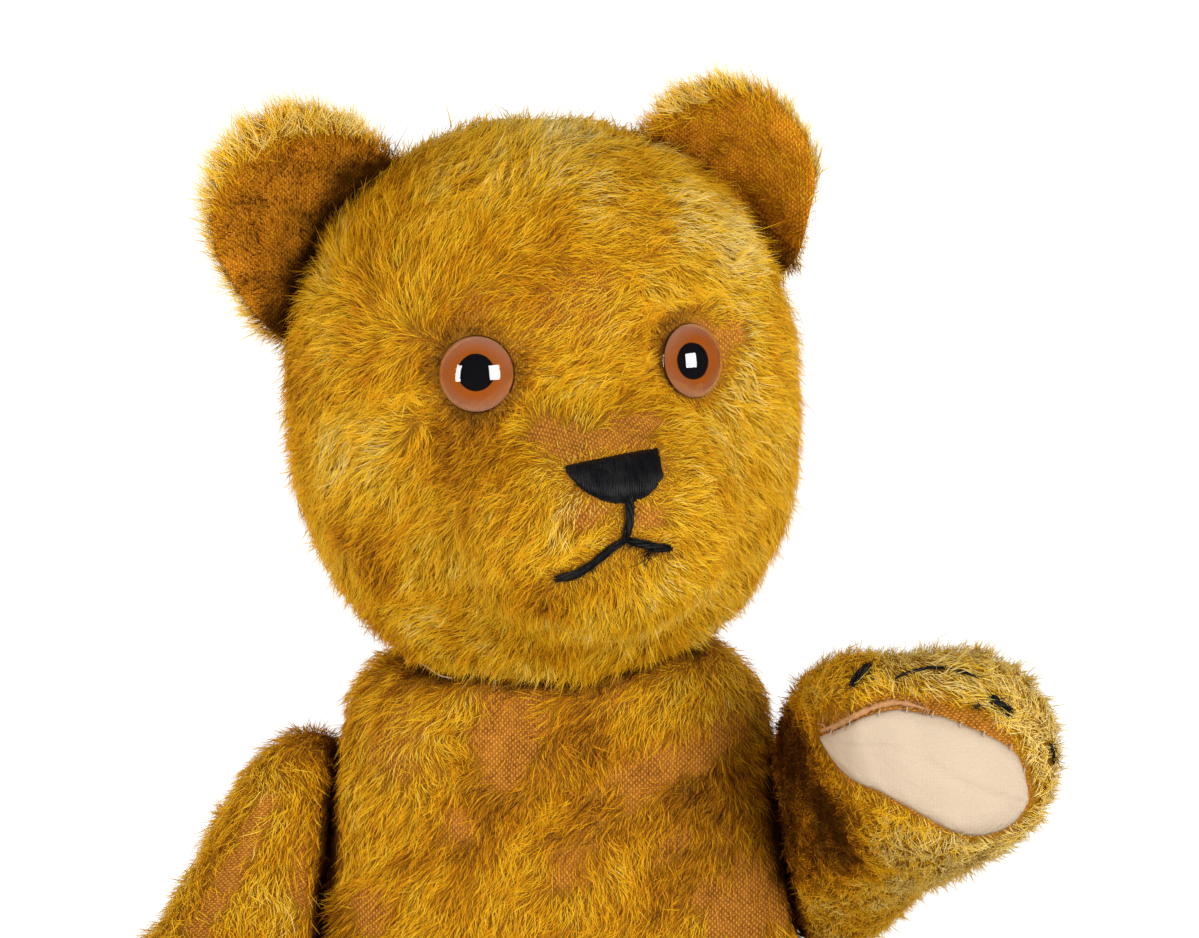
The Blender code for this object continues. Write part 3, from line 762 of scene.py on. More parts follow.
# Bare ring round a detail, how far round it the pile is short, and how short it is there.
DETAIL_ROOM = {
    "eye": (1.0, 8.0, 0.6),
    "nose": (0.8, 7.0, 0.65),
    "mouth": (0.9, 6.0, 0.6),
    "philtrum": (0.9, 5.0, 0.65),
    "paw": (0.7, 6.0, 0.45),
    "foot": (0.7, 6.0, 0.45),
}
OTHERS = {
    body: tree_of(*(other + "_cover" for other in BODIES if other != body)) for body in BODIES
}
SHADED = {"eye": 0.38}  # painted shade: how much darker the pile is beside a detail, where an eye sits in its socket
SHADED_REACH = (0.5, 4.5)  # mm from the detail, between which it is less so
PUSHED_AWAY = 1.6  # how strongly the pile is combed away from it
LEAST_PILE, MOST_PILE = 0.2, 1.2  # lengths, as shares of PILE


def make_room(mesh, tree, kind):
    """Leaves the pile bare, short and combed away round a detail, and darker there by painted
    shade.
    """
    points, normals = points_of(mesh), normals_of(mesh)
    gap = gap_to(tree, points, REACH) / MM
    bare, calm, short = DETAIL_ROOM[kind]
    near = 1 - step(gap, 0.25 * calm, calm)
    away = tangent(away_from(tree, points, calm * MM), normals)
    store(mesh, "cover", field(mesh, "cover") * step(gap, 0.5 * bare, 1.2 * bare))
    store(mesh, "pile", np.maximum(field(mesh, "pile") * (1 - short * near), LEAST_PILE))
    comb = vectors(mesh, "comb") + away * (PUSHED_AWAY * near)[:, None]
    store(mesh, "comb", tangent(comb, normals))
    darker = SHADED.get(kind, 0) * (1 - step(gap, *SHADED_REACH))
    store(mesh, "tone", field(mesh, "tone") - darker)


# Where the pile is darker or paler: a middle and reach in the body's frame, mm, and how much.
TONES = {
    "head": (
        ((6, -70, 117), (27, 70, 17), -0.18),
        ((-27, -70, 77), (13, 50, 8), -0.27),
        ((-33, -60, 96), (9, 40, 5), -0.12),
        ((2, -75, 91), (13, 40, 8), -0.13),
        ((-20, -85, 64), (9, 30, 9), -0.10),
        ((45, -40, 75), (18, 60, 22), 0.26),
        ((38, -30, 118), (20, 50, 18), 0.22),
        ((-50, -40, 95), (14, 60, 16), 0.08),
        ((0, 0, 150), (60, 70, 20), 0.30),
    ),
    "torso": (
        ((0, -40, 120), (80, 60, 90), -0.12),
        # painted shadow of the raised arm on the torso's side
        ((58, -10, 160), (9, 50, 30), -0.3),
        ((10, -45, 184), (15, 50, 9), -0.30),
        ((12, -50, 160), (20, 50, 7), -0.16),
        ((46, -30, 150), (10, 50, 40), -0.10),
        ((-20, -45, 200), (40, 50, 6), -0.14),
    ),
    "arm_left": (  # the raised paw's pile is paler
        ((92, -24, 42), (32, 14, 28), 0.5),
        ((90, 0, 68), (32, 32, 16), 0.6),
        ((85, 26, 46), (32, 14, 26), 0.5),
        ((50, 5, 22), (45, 40, 22), 0.16),
        ((30, 20, 40), (26, 14, 24), 0.12),
    ),
    "arm_right": (((40, 0, 60), (60, 40, 16), 0.10),),
}
DARKEST = -0.35  # the lowest tone, in painted shade in hollows and creases and on the darkest worn cloth
DARKER_SPOTS = {"torso": (((28, -45, 174), (20, 50, 9), -0.30),)}  # darker than the rest, worn or not
# Places on the head where the pile is shorter, in the same way.
SHORT_BROW = ((6, -70, 117), (27, 70, 17), -0.3)
SHORT_MUZZLE = ((1, -78, 62), (34, 26, 26), -0.35)
WEAR_GAIN, LEAST_COVER = 1.2, 0.03
MEAN_TONE, LEAST_TONE = 0.55, 0.24
TONE_WAVES = ((0.13, 34 * MM, 41), (0.09, 12 * MM, 42))  # strength, size, seed
SEAM_SHADE = 0.75  # painted shade: how much darker the pile is where another body is close
SEAM_REACH = (0.5 * MM, 7 * MM)
BURIED = (0.1 * MM, 0.7 * MM)  # the room under which no pile grows, and over which all does
CROWDED = (1 * MM, 8 * MM)  # and the room between which it gets its full length
CROWDED_LENGTH = 0.45
FACING_DOWN = -0.3
TORSO_LENGTH, LIMB_LENGTH = 0.85, 0.9


def blot(local, middle_of, reach, amount):
    """A soft spot of this strength in a body's frame."""
    return amount * np.exp(-(((local - middle_of) / reach) ** 2).sum(1))


def pile_fields(body, mesh):
    points, normals = points_of(mesh), normals_of(mesh)
    local = local_points(points, FRAMES[body]) / MM
    cover = np.maximum(1 - WEAR_GAIN * worn_away(body, points, normals), LEAST_COVER)
    comb = combed(body, points, normals)
    tone = MEAN_TONE
    for strength, size, seed in TONE_WAVES:
        tone = tone + strength * waves(points, size, seed)
    tone += sum(blot(local, *row) for row in TONES.get(body, ()))
    tone = np.maximum(tone, LEAST_TONE)
    tone += sum(blot(local, *row) for row in DARKER_SPOTS.get(body, ()))

    room = gap_to(OTHERS[body], points, REACH)
    tone -= SEAM_SHADE * (1 - step(room, *SEAM_REACH))
    down = normals[:, 2] < FACING_DOWN
    room[down] = np.minimum(room[down], np.maximum(points[down, 2], 0))
    cover *= step(room, *BURIED)
    pile = CROWDED_LENGTH + (1 - CROWDED_LENGTH) * step(room, *CROWDED)
    if body == "head":
        pile *= (1 + blot(local, *SHORT_BROW)) * (1 + blot(local, *SHORT_MUZZLE))
    else:
        pile *= TORSO_LENGTH if body == "torso" else LIMB_LENGTH
    store(mesh, "cover", np.clip(cover, 0, 1))
    store(mesh, "pile", np.clip(pile, LEAST_PILE, MOST_PILE))
    store(mesh, "tone", np.clip(tone, DARKEST, 1))
    store(mesh, "comb", comb)
    print(body, "pile left on", round(float(cover.mean()) * 100), "% of the cloth")


for body, mesh in SKINS.items():
    pile_fields(body, mesh)
for detail in HEAD_DETAILS:
    make_room(SKINS["head"], tree_of(detail), detail.split("_")[0])

# %% [markdown]
# ## The ears
#
# An ear is two rounds of mohair cloth sewn edge to edge and cupped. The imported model's ears have
# the size; subdivision rounds them. Their fronts are worn nearly to the orange weave, and long
# tufts are left along their rims and seams.

# %% Ears
# Each ear's middle in the head's frame, the line that it is sewn along, and the way it stands out.
EAR_SET = {
    "left": ((57, 4, 120), (-0.69, 0, 0.72), (0.72, 0, 0.69), 28),
    "right": ((-58, 8, 117), (0.565, 0, 0.825), (-0.825, 0, 0.565), 29.5),
}
RIM_FORWARD = 12  # mm that the free rim curls towards the front
BASE_BACK = 9  # mm that the sewn edge folds away from the front
BASE_IN = 5.0  # mm that the sewn edge is pulled into the pile of the head
ENDS_FORWARD = 4.5  # mm that the two ends of the sewn edge come forward
RIM_MOVE = {"left": (-8.5, 3.4), "right": (1.0, 9.0)}  # mm across and up, at the free rim
EAR_INSIDE_DARKER = {"left": 0.42, "right": 0.72}  # how much darker the inside is than the rim
# the rim's tone, how much darker the crease next to the head is by painted shade, and how much
# darker the seam is
RIM_TONE, CREASE_SHADE, EAR_SEAM_DARKER = 0.84, 1.0, 0.5
RIM_LENGTH, BARE_LENGTH = 1.2, 0.85  # the rim's pile, and how much of it the inside lacks
RIM_BAND = (0.82, 0.98)  # where the inside ends and the rim begins, from middle to edge
SEAM_AT, SEAM_WIDTH = 0.95, 0.035
EAR_SWEEP = (-0.3, 0.25, 0.45)  # the way that the ears' pile is swept, in the head's frame


def cupped(word, mesh):
    """Bends the ear to a deeper cup, with its hollow next to the head."""
    middle_of, along, out, reach = (np.array(value, float) for value in EAR_SET[word])
    place = FRAMES["head"]
    local = local_points(points_of(mesh), place) / MM
    u, v = (local - middle_of) @ out, (local - middle_of) @ along
    sewn = 1 - step(gap_to(tree_of("head_cover"), points_of(mesh), REACH), 1 * MM, 9 * MM)
    hollow = 1 - step(u, -0.45 * reach, 0.35 * reach)
    shift = BASE_BACK * hollow - RIM_FORWARD * step(u, 0, reach) - ENDS_FORWARD * (v / reach) ** 2
    shift += 0.7 * waves(points_of(mesh), 16 * MM, 50)
    local[:, 1] += shift
    free = step(u, -0.4 * reach, 0.5 * reach) * (1 - 0.35 * step(v, 0.55 * reach, reach))
    local[:, [0, 2]] += free[:, None] * RIM_MOVE[word]
    local -= (sewn * BASE_IN)[:, None] * out
    set_points(mesh, in_frame(local * MM, place))


def ear_mesh(word):
    node = "ear_" + word
    form = bmesh.new()
    form.from_mesh(nodes[node].data)
    bmesh.ops.remove_doubles(form, verts=form.verts, dist=0.001 * MM)
    bmesh.ops.join_triangles(
        form, faces=form.faces, angle_face_threshold=0.7, angle_shape_threshold=0.9
    )
    mesh = subdivided(node + "_coarse", mesh_from(form, node + "_cloth"), 2)
    mesh.name = node + "_cloth"
    cupped(word, mesh)
    mesh.shade_smooth()
    return mesh


def ear_fields(word, mesh):
    middle_of, along, out, reach = (np.array(value, float) for value in EAR_SET[word])
    place = FRAMES["head"]
    points, normals = points_of(mesh), normals_of(mesh)
    local = local_points(points, place) / MM
    u, v = (local - middle_of) @ out, (local - middle_of) @ along
    front = normals @ turned(np.array((0.0, -1.0, 0.0))[None], place)[0]
    from_middle = np.sqrt(u**2 + v**2) / reach
    edge = step(from_middle, *RIM_BAND)
    inside = step(front, 0.1, 0.5) * (1 - edge)
    gap = gap_to(tree_of("head_cover"), points, REACH)
    cover = 1 - 0.55 * inside + 0.3 * waves(points, 7 * MM, 51) * inside
    seam = np.exp(-(((from_middle - SEAM_AT) / SEAM_WIDTH) ** 2)) * step(front, -0.3, 0.2)
    cover *= (1 - 0.6 * seam) * step(gap, 0.2 * MM, 1.2 * MM)
    pile = RIM_LENGTH - BARE_LENGTH * inside
    # painted shade in the crease beside the head
    crease = (1 - step(u, -0.45 * reach, 0.25 * reach)) * step(front, -0.1, 0.3)
    tone = RIM_TONE - EAR_INSIDE_DARKER[word] * inside - CREASE_SHADE * crease
    tone += 0.12 * waves(points, 9 * MM, 52) - EAR_SEAM_DARKER * seam
    swept = turned(np.array(EAR_SWEEP)[None], place)
    radial = turned(u[:, None] * out + v[:, None] * along, place) / reach
    comb = tangent(radial + swept, normals)
    store(mesh, "cover", np.clip(cover, 0.05, 1))
    store(mesh, "pile", pile)
    store(mesh, "tone", np.clip(tone, DARKEST, 1))
    store(mesh, "comb", comb)


EARS = {word: ear_mesh(word) for word in ("left", "right")}
for word, mesh in EARS.items():
    ear_fields(word, mesh)
    print("ear", word, len(mesh.polygons), "faces")

# %% [markdown]
# ## The glass eyes
#
# An antique bear's eye is a dome of clear glass over a painted brown disc with a black pupil. Both
# are turned here as round profiles. The dome is real glass, so that it bends the view of the disc,
# spreads the pupil and leaves the pale ring at its edge. The glass lets the lamps through to the
# paint, which otherwise would lie in the dome's own shadow.

# %% Eyes
EYE_DOME = 5.4 * MM
EYE_RINGS = 22
EYE_SIDES = 64
# Radius, a small shift across, back and up in the head's frame, and how much further it turns out.
EYES = {"right": (9.9, (0.3, 0, -0.4), 0), "left": (9.8, (-1.3, -0.4, -1.0), 3)}
PUPIL_SHIFT = {"right": (0.25, 0.35), "left": (-1.55, -0.1)}  # mm across and up, on the disc
IRIS_SHARE = 0.95  # the painted disc's radius, as a share of the glass's
IRIS_CROWN = 0.7 * MM
IRIS_BED = 0.12 * MM  # the disc's edge, ahead of the glass's rim
IRIS_THICK = 0.3 * MM
# The glass from its rim round the back: out, in radii, and forward of the rim, mm.
GLASS_BACK = ((1.012, -0.35), (1.0, -0.9), (0.93, -1.3), (0.5, -1.5), (0.0, -1.5))
KEPT_CLEAR = {body: [] for body in BODIES}  # details that hairs stay off


def keep_clear(body, mesh, clear):
    """Notes a detail that the body's hairs may not come this close to."""
    points = points_of(mesh)
    centre = points.mean(0)
    reach = np.linalg.norm(points - centre, axis=1).max()
    KEPT_CLEAR[body].append((tree_over(mesh), centre, reach, clear))


def eye_axes(word):
    """The middle of the eye's front, the way that it looks, and its right and up."""
    radius, shift, further = EYES[word]
    points = points_of(nodes["eye_" + word].data)
    centre = points.mean(0)
    way = np.linalg.svd(points - centre)[2][2]
    way *= -np.sign(way[1])
    front = centre + way * ((points - centre) @ way).max()
    front = front + turned(np.array(shift)[None] * MM, FRAMES["head"])[0]
    way = np.array(Matrix.Rotation(math.radians(further), 3, "Z") @ Vector(way))
    right = unit(np.cross((0, 0, 1), way))
    right *= np.sign(right[0])
    up = np.cross(way, right)
    return front, way, right, up * np.sign(up[2])


def glass_profile(radius):
    """Points (out, forward) from the dome's top round the rim to the middle of the back."""
    ball = (radius**2 + EYE_DOME**2) / (2 * EYE_DOME)
    out = np.linspace(0, radius, EYE_RINGS)
    dome = np.sqrt(ball**2 - out**2) - ball
    back = np.array(GLASS_BACK) * (radius, MM) - (0, EYE_DOME)
    return np.vstack((np.stack((out, dome), 1), back))


def iris_profile(radius):
    out = np.linspace(0, radius * IRIS_SHARE, EYE_RINGS)
    top = IRIS_BED - EYE_DOME + IRIS_CROWN * (1 - (out / out[-1]) ** 2)
    back = IRIS_BED - EYE_DOME - IRIS_THICK
    return np.vstack((np.stack((out, top), 1), ((out[-1], back), (0, back))))


def turn_round(name, profile, word):
    """A closed round form about the eye's axis."""
    front, way, right, up = eye_axes(word)
    form = bmesh.new()
    rows = []
    for out, ahead in profile:
        spokes = EYE_SIDES if out > 0 else 1
        row = []
        for turn in np.arange(spokes) * 2 * math.pi / spokes:
            offset = right * math.cos(turn) * out + up * math.sin(turn) * out
            row.append(form.verts.new(front + way * ahead + offset))
        rows.append(row)
    for first, second in zip(rows, rows[1:]):
        for k in range(EYE_SIDES):
            ring = [first[k % len(first)], second[k % len(second)]]
            ring += [second[(k + 1) % len(second)], first[(k + 1) % len(first)]]
            form.faces.new(list(dict.fromkeys(ring)))
    bmesh.ops.recalc_face_normals(form, faces=form.faces)
    mesh = mesh_from(form, name)
    radius = EYES[word][0] * MM
    offsets = points_of(mesh) - front
    flat = offsets - (offsets @ way)[:, None] * way
    across, rise = PUPIL_SHIFT[word]
    middle_of = (right * across + up * rise) * MM
    store(mesh, "ring", np.linalg.norm(flat, axis=1) / radius)
    store(mesh, "pupil", np.linalg.norm(flat - middle_of, axis=1) / radius)
    store(mesh, "high", flat @ up / radius)
    mesh.shade_smooth()
    return mesh


# %% Eye finishes
IRIS = (0.200, 0.052, 0.006)
IRIS_DEEP = (0.215, 0.050, 0.003)
IRIS_PALE = (0.215, 0.105, 0.065)
PUPIL = (0.002, 0.002, 0.003)
PUPIL_EDGE = (0.44, 0.42)  # where the iris begins and the pupil ends
BLOOM = (0.5, 0.86)  # where a pale bloom begins and is full, from the middle to the rim


def iris_finish():
    made, wire, shader = finish_tree("eye_paint")
    ring, high, pupil = (attribute(wire, name) for name in ("ring", "high", "pupil"))
    place = wire("ShaderNodeTexCoord", out="Object")
    iris = ramp(wire, noise(wire, place, 260.0), ((0.35, IRIS_DEEP), (0.65, IRIS)))
    upper_and_lower = wire.maths("MULTIPLY_ADD", wire.maths("ABSOLUTE", high), 0.9, 0.12)
    bloom = wire.maths("MULTIPLY", fade(wire, ring, *BLOOM), upper_and_lower)
    iris = blend(wire, bloom, iris, (*IRIS_PALE, 1))
    wobble = wire.maths("MULTIPLY_ADD", noise(wire, place, 420.0, 1.0), 0.024, -0.012)
    in_pupil = fade(wire, wire.maths("ADD", pupil, wobble), *PUPIL_EDGE)
    dress(wire, shader, blend(wire, in_pupil, iris, (*PUPIL, 1)), roughness=0.5, specular=0.0)
    return made


GLASS_TINT = (1.0, 0.97, 0.94)
GLASS_TINT_OLD = (0.96, 0.90, 0.84)
GLASS_SOCKETS = {
    "IOR": 1.5,
    "Transmission Weight": 1.0,
    "Coat Weight": 1.0,
    "Coat Roughness": 0.01,
}


def glass_finish():
    made, wire, shader = finish_tree("eye_glass")
    place = wire("ShaderNodeTexCoord", out="Object")
    seeds = noise(wire, place, 900.0, 1.0)
    tint = ramp(wire, seeds, ((0.3, GLASS_TINT_OLD), (0.6, GLASS_TINT)))
    dress(wire, shader, tint, roughness=0.0)
    for name, value in GLASS_SOCKETS.items():
        shader.inputs[name].default_value = value
    clear = wire("ShaderNodeBsdfTransparent", Color=(1, 1, 1, 1))
    shaded = wire("ShaderNodeLightPath", out="Is Shadow Ray")
    set_surface(wire, wire("ShaderNodeMixShader", i0=shaded, i1=shader.outputs[0], i2=clear))
    return made


IRIS_FINISH, GLASS_FINISH = iris_finish(), glass_finish()
for word, (radius, *_) in EYES.items():
    parts = (
        ("eye_paint_", iris_profile(radius * MM), IRIS_FINISH),
        ("eye_glass_", glass_profile(radius * MM), GLASS_FINISH),
    )
    for start, profile, finish in parts:
        mesh = turn_round(start + word, profile, word)
        mesh.materials.append(finish)
        piece = new_object(start + word, mesh)
        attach(piece, "head")
        print(piece.name, len(mesh.polygons), "faces")
    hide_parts("eye_" + word)
    keep_clear("head", mesh, 0.15 * MM)

# %% [markdown]
# ## Thread
#
# The nose, mouth and claws are worked in black embroidery cotton. Every stitch is a line of points,
# and one Geometry Nodes tree turns all the lines of a piece into round threads with closed ends.
# The nose is satin stitch: threads laid side by side, from its top edge to its bottom edge. The
# mouth and claws are bundles of slack strands, with loose fibres worn out of them.

# %% Geometry Nodes tree for thread
LOOSE = np.random.default_rng(71)


def thread_tree():
    inputs = (("Radius", "Float", 0.4 * MM), ("Sides", "Int", 6), ("Finish", "Material"))
    tree, wire, size = geometry_tree("threads", "Lines", inputs, "Threads")
    thick = wire("GeometryNodeInputNamedAttribute", {"data_type": "FLOAT"}, Name="thick")
    lines = wire("GeometryNodeMeshToCurve", Mesh=size["Lines"])
    radius = wire.maths("MULTIPLY", thick, size["Radius"])
    lines = wire("GeometryNodeSetCurveRadius", Curve=lines, Radius=radius)
    profile = wire("GeometryNodeCurvePrimitiveCircle", Resolution=size["Sides"], Radius=1.0)
    tubes = wire(
        "GeometryNodeCurveToMesh",
        Curve=lines,
        Profile_Curve=profile,
        Scale=wire("GeometryNodeInputRadius"),
        Fill_Caps=True,
    )
    tubes = wire("GeometryNodeRealizeInstances", Geometry=tubes)
    tubes = wire("GeometryNodeSetMaterial", Geometry=tubes, Material=size["Finish"])
    wire("NodeGroupOutput", Threads=tubes)
    return tree


THREAD_TREE = thread_tree()


def threads(name, lines, radius, finish, sides=6):
    """Tubes along (points, thickness) lines, as one plain mesh."""
    points, edges, thick = [], [], []
    for line, share in lines:
        first = len(points)
        points += [tuple(point) for point in line]
        thick += list(np.broadcast_to(share, len(line)))
        edges += [(k, k + 1) for k in range(first, len(points) - 1)]
    mesh = bpy.data.meshes.new(name + "_lines")
    mesh.from_pydata(points, edges, [])
    store(mesh, "thick", np.array(thick, float))
    source = new_object(name + "_source", mesh)
    made = run_tree(source, THREAD_TREE, {"Radius": radius, "Sides": sides, "Finish": finish})
    made.name = name
    made.shade_smooth()
    print(name, len(lines), "threads,", len(made.polygons), "faces")
    return new_object(name, made)


# %% Black thread finish
FLOSS = (0.004, 0.004, 0.005)
FLOSS_WORN = (0.020, 0.018, 0.017)


def floss_finish():
    made, wire, shader = finish_tree("black_floss")
    place = wire("ShaderNodeTexCoord", out="Object")
    fibre, patchy = noise(wire, place, 1500.0, 3.0), noise(wire, place, 160.0)
    worn = wire.maths("MULTIPLY_ADD", fibre, 0.6, wire.maths("MULTIPLY_ADD", patchy, 0.9, -0.35))
    colour = ramp(wire, worn, ((0.35, FLOSS), (0.85, FLOSS_WORN)))
    dress(wire, shader, colour, roughness=0.42, specular=0.12)
    emboss(wire, shader, fibre, strength=0.5, depth=0.1 * MM)
    return made


FLOSS_FINISH = floss_finish()
HEAD_SKIN = tree_over(SKINS["head"])

# %% Satin stitches of the nose
NOSE_MIDDLE, NOSE_HALF = 2.5, 12.2  # mm across in the head's frame
NOSE_PITCH = 0.5  # mm from thread to thread
NOSE_PAD = 1.9  # mm that the padding under the stitches lifts them
NOSE_LEVELS = 11
NOSE_SINK = 0.25  # mm that a stitch's ends go into the cloth


def nose_edges(c):
    """Heights of the nose's top and low edges, mm, for c from -1 at its right to 1 at its left."""
    return 72.3 + 0.7 * c + 0.9 * (1 - c * c), 63.1 + 5.6 * abs(c - 0.1) ** 2.3


def on_head_point(x, z):
    """The point of the head's cloth straight behind (x, z) of its frame, and the way out there."""
    place = FRAMES["head"]
    origin = in_frame(np.array((x, -140, z))[None] * MM, place)[0]
    at, way = HEAD_SKIN.ray_cast(origin, turned(np.array((0, 1.0, 0))[None], place)[0])[:2]
    return np.array(at), np.array(way)


def nose_lines():
    lines = []
    for c in np.arange(-1, 1.0001, NOSE_PITCH / NOSE_HALF):
        top, low = nose_edges(c)
        proud = NOSE_PAD * (1 - abs(c) ** 6) * LOOSE.uniform(0.93, 1.07)
        points = []
        for share in np.linspace(0, 1, NOSE_LEVELS):
            z = low + (top - low) * share
            x = NOSE_MIDDLE + NOSE_HALF * c + 0.14 * math.sin(z * 0.9 + c * 25)
            at, way = on_head_point(x, z)
            lift = proud * math.sin(math.pi * share) ** 0.5 - NOSE_SINK
            points.append(at + way * lift * MM)
        lines.append((np.array(points), LOOSE.uniform(0.9, 1.15)))
    return lines


# %% Slack strands and loose fibres
STRAND_WAVE = 0.12 * MM  # how far a strand wanders from its winding
STRAND_END = 0.55  # a strand's thickness at its ends
FIBRE_THICK = (0.22, 0.2, 0.15, 0.08)  # from root to tip
FIBRE_BEND = 0.35


def strands(path, out, count, spread, turns):
    """Strands that wind round a path like slack floss."""
    run = np.linspace(0, 1, len(path))
    ahead = unit(np.gradient(path, axis=0))
    side = unit(np.cross(ahead, out))
    lines = []
    for k in range(count):
        angle = 2 * math.pi * (k / count + turns * run) + LOOSE.uniform(-0.3, 0.3)
        shift = side * np.cos(angle)[:, None] + out * np.sin(angle)[:, None]
        wander = waves(path, 9 * MM, 80 + k)[:, None] * side * STRAND_WAVE
        ends = np.clip(np.minimum(run, 1 - run) * 9, STRAND_END, 1)
        lines.append((path + shift * spread + wander, ends))
    return lines


def fibres(path, out, count, length, spread):
    """Short fine curved hairs that stick out of a thread."""
    lines = []
    for _ in range(count):
        k = int(LOOSE.integers(0, len(path)))
        ahead = path[min(k + 1, len(path) - 1)] - path[max(k - 1, 0)]
        way = unit(unit(ahead) * LOOSE.normal(0, 0.8) + LOOSE.normal(0, 0.8, 3) + out[k] * 0.5)
        root = path[k] + LOOSE.normal(0, spread / 2, 3)
        bend = np.cross(way, LOOSE.normal(0, 1, 3)) * FIBRE_BEND
        size = length * LOOSE.uniform(0.5, 1.2)
        run = np.linspace(0, 1, 4)[:, None]
        line = root + (way * run + bend * run**2) * size
        lines.append((line, FIBRE_THICK))
    return lines


def smooth_line(points, count):
    """An open curve through the points, as this many evenly spread ones."""
    points = np.array(points, float)
    ends = (2 * points[0] - points[1], 2 * points[-1] - points[-2])
    padded = np.vstack((ends[0], points, ends[1]))
    spots = []
    for a, b, c, d in zip(padded, padded[1:], padded[2:], padded[3:]):
        for t in np.linspace(0, 1, 12, endpoint=False):
            cubic = (3 * b - a - 3 * c + d) * t**3 + (2 * a - 5 * b + 4 * c - d) * t**2
            spots.append(0.5 * (2 * b + (c - a) * t + cubic))
    spots = np.array([*spots, points[-1]])
    run = np.concatenate(([0], np.cumsum(np.linalg.norm(np.diff(spots, axis=0), axis=1))))
    even = np.linspace(0, run[-1], count)
    return np.stack([np.interp(even, run, column) for column in spots.T], 1)


# %% Nose and mouth
# Across and up in the head's frame, mm.
MOUTH_LEFT = ((2.0, 54.6), (-2.0, 52.2), (-5.8, 49.4), (-10, 46.6), (-14.8, 44.9))
MOUTH_RIGHT = ((2.8, 54.4), (6.0, 52.9), (9.6, 51.4), (13.6, 50.2))
PHILTRUM = ((4.3, 64.6), (4.0, 61.0), (3.2, 57.6), (2.0, 54.4))
TUFT = ((8.2, 52.0), (7.6, 50.6), (7.0, 49.6))
MOUTH_LIFT = 1.0  # mm from the cloth to the middle of the bundle
NOSE_CORNER = ((-9.6, 71.2), (-8.0, 68.2), (-3.5, 64.8), (4, 63.2))


def on_head(marks, count):
    """A smooth path over the head's cloth, and the way out of the cloth along it."""
    found = [on_head_point(x, z) for x, z in smooth_line(marks, count)]
    out = np.array([way for _, way in found])
    return np.array([at for at, _ in found]) + out * MOUTH_LIFT * MM, out


mouth = []
for marks, count in ((MOUTH_LEFT, 22), (MOUTH_RIGHT, 16), (PHILTRUM, 14)):
    path, out = on_head(marks, count)
    mouth += strands(path, out, 5, 0.66 * MM, 0.8)
    mouth += fibres(path, out, 70, 2.6 * MM, 1.0 * MM)
tuft_path, tuft_out = on_head(TUFT, 6)
mouth += fibres(tuft_path, tuft_out, 36, 3.0 * MM, 0.9 * MM)
nose = nose_lines()
nose_edge, nose_out = on_head(NOSE_CORNER, 12)
nose += fibres(nose_edge, nose_out, 40, 2.2 * MM, 0.6 * MM)
for name, lines, radius, stood_for in (
    ("nose_threads", nose, 0.38 * MM, ("nose_stitching",)),
    ("mouth_threads", mouth, 0.50 * MM, ("mouth_stitch", "philtrum_stitch")),
):
    piece = threads(name, lines, radius, FLOSS_FINISH)
    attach(piece, "head")
    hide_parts(*stood_for)
    keep_clear("head", piece.data, 0.3 * MM)

# %% [markdown]
# ## Paws and soles
#
# The paw pads were replaced long ago with plain unbleached cotton, turned under at the edge and
# slip-stitched. A pad is a sheet: its outline is spread over the paw, laid just above the mohair,
# and given its thickness. Its edge dips to the cloth, where it is sewn, and a soft fold crosses it.

# %% Where the marks lie on a paw
# The paw's middle in the arm's frame, mm, and the ways that it faces and stands up. The second
# number is mirrored between the arms.
PAW_MIDDLE = np.array((106.5, -0.9, 40.7))
PAW_FACING = np.array((0.988, -0.151, -0.04))
PAW_UP = np.array((0.154, 0.98, 0.126))
PAW_RIGHT = np.cross(PAW_FACING, PAW_UP)
SLIM = 0.84  # the right paw's inner side, where its filling hasn't crept up
FAR = 60 * MM  # a start for rays, well outside the limb
FACING_SHARE = 0.6  # how much of a mark's way out follows the paw, and not the cloth under it
LIMB_SKINS = {body: tree_over(SKINS[body]) for body in BODIES if body.startswith(("arm", "leg"))}


def mirror_of(word):
    return np.array((1, -1, 1)) if word == "left" else np.ones(3)


def paw_mark(word, across, up):
    """A point of the paw's cloth and the way out of it, in the room."""
    if word == "right" and across < 0:
        across *= SLIM
    place, mirror = FRAMES["arm_" + word], mirror_of(word)
    spot = (PAW_MIDDLE + PAW_RIGHT * across + PAW_UP * up) * mirror * MM
    start = in_frame(spot[None], place)[0]
    facing = turned((PAW_FACING * mirror)[None], place)[0]
    skin = LIMB_SKINS["arm_" + word]
    at, way = skin.ray_cast(start + facing * FAR, -facing)[:2]
    if at is None:
        at, way = skin.find_nearest(start)[:2]
    return np.array(at), unit(np.array(way) + FACING_SHARE * facing)


def sole_mark(word, forward, out):
    """A point of the foot's sole and the way out of it, in the room."""
    side = 1 if word == "left" else -1
    place = FRAMES["leg_" + word]
    start = in_frame(np.array((200, -side * forward, out))[None] * MM, place)[0]
    way = turned(np.array((1.0, 0, 0))[None], place)[0]
    at = LIMB_SKINS["leg_" + word].ray_cast(start, -way)[0]
    return np.array(at), way


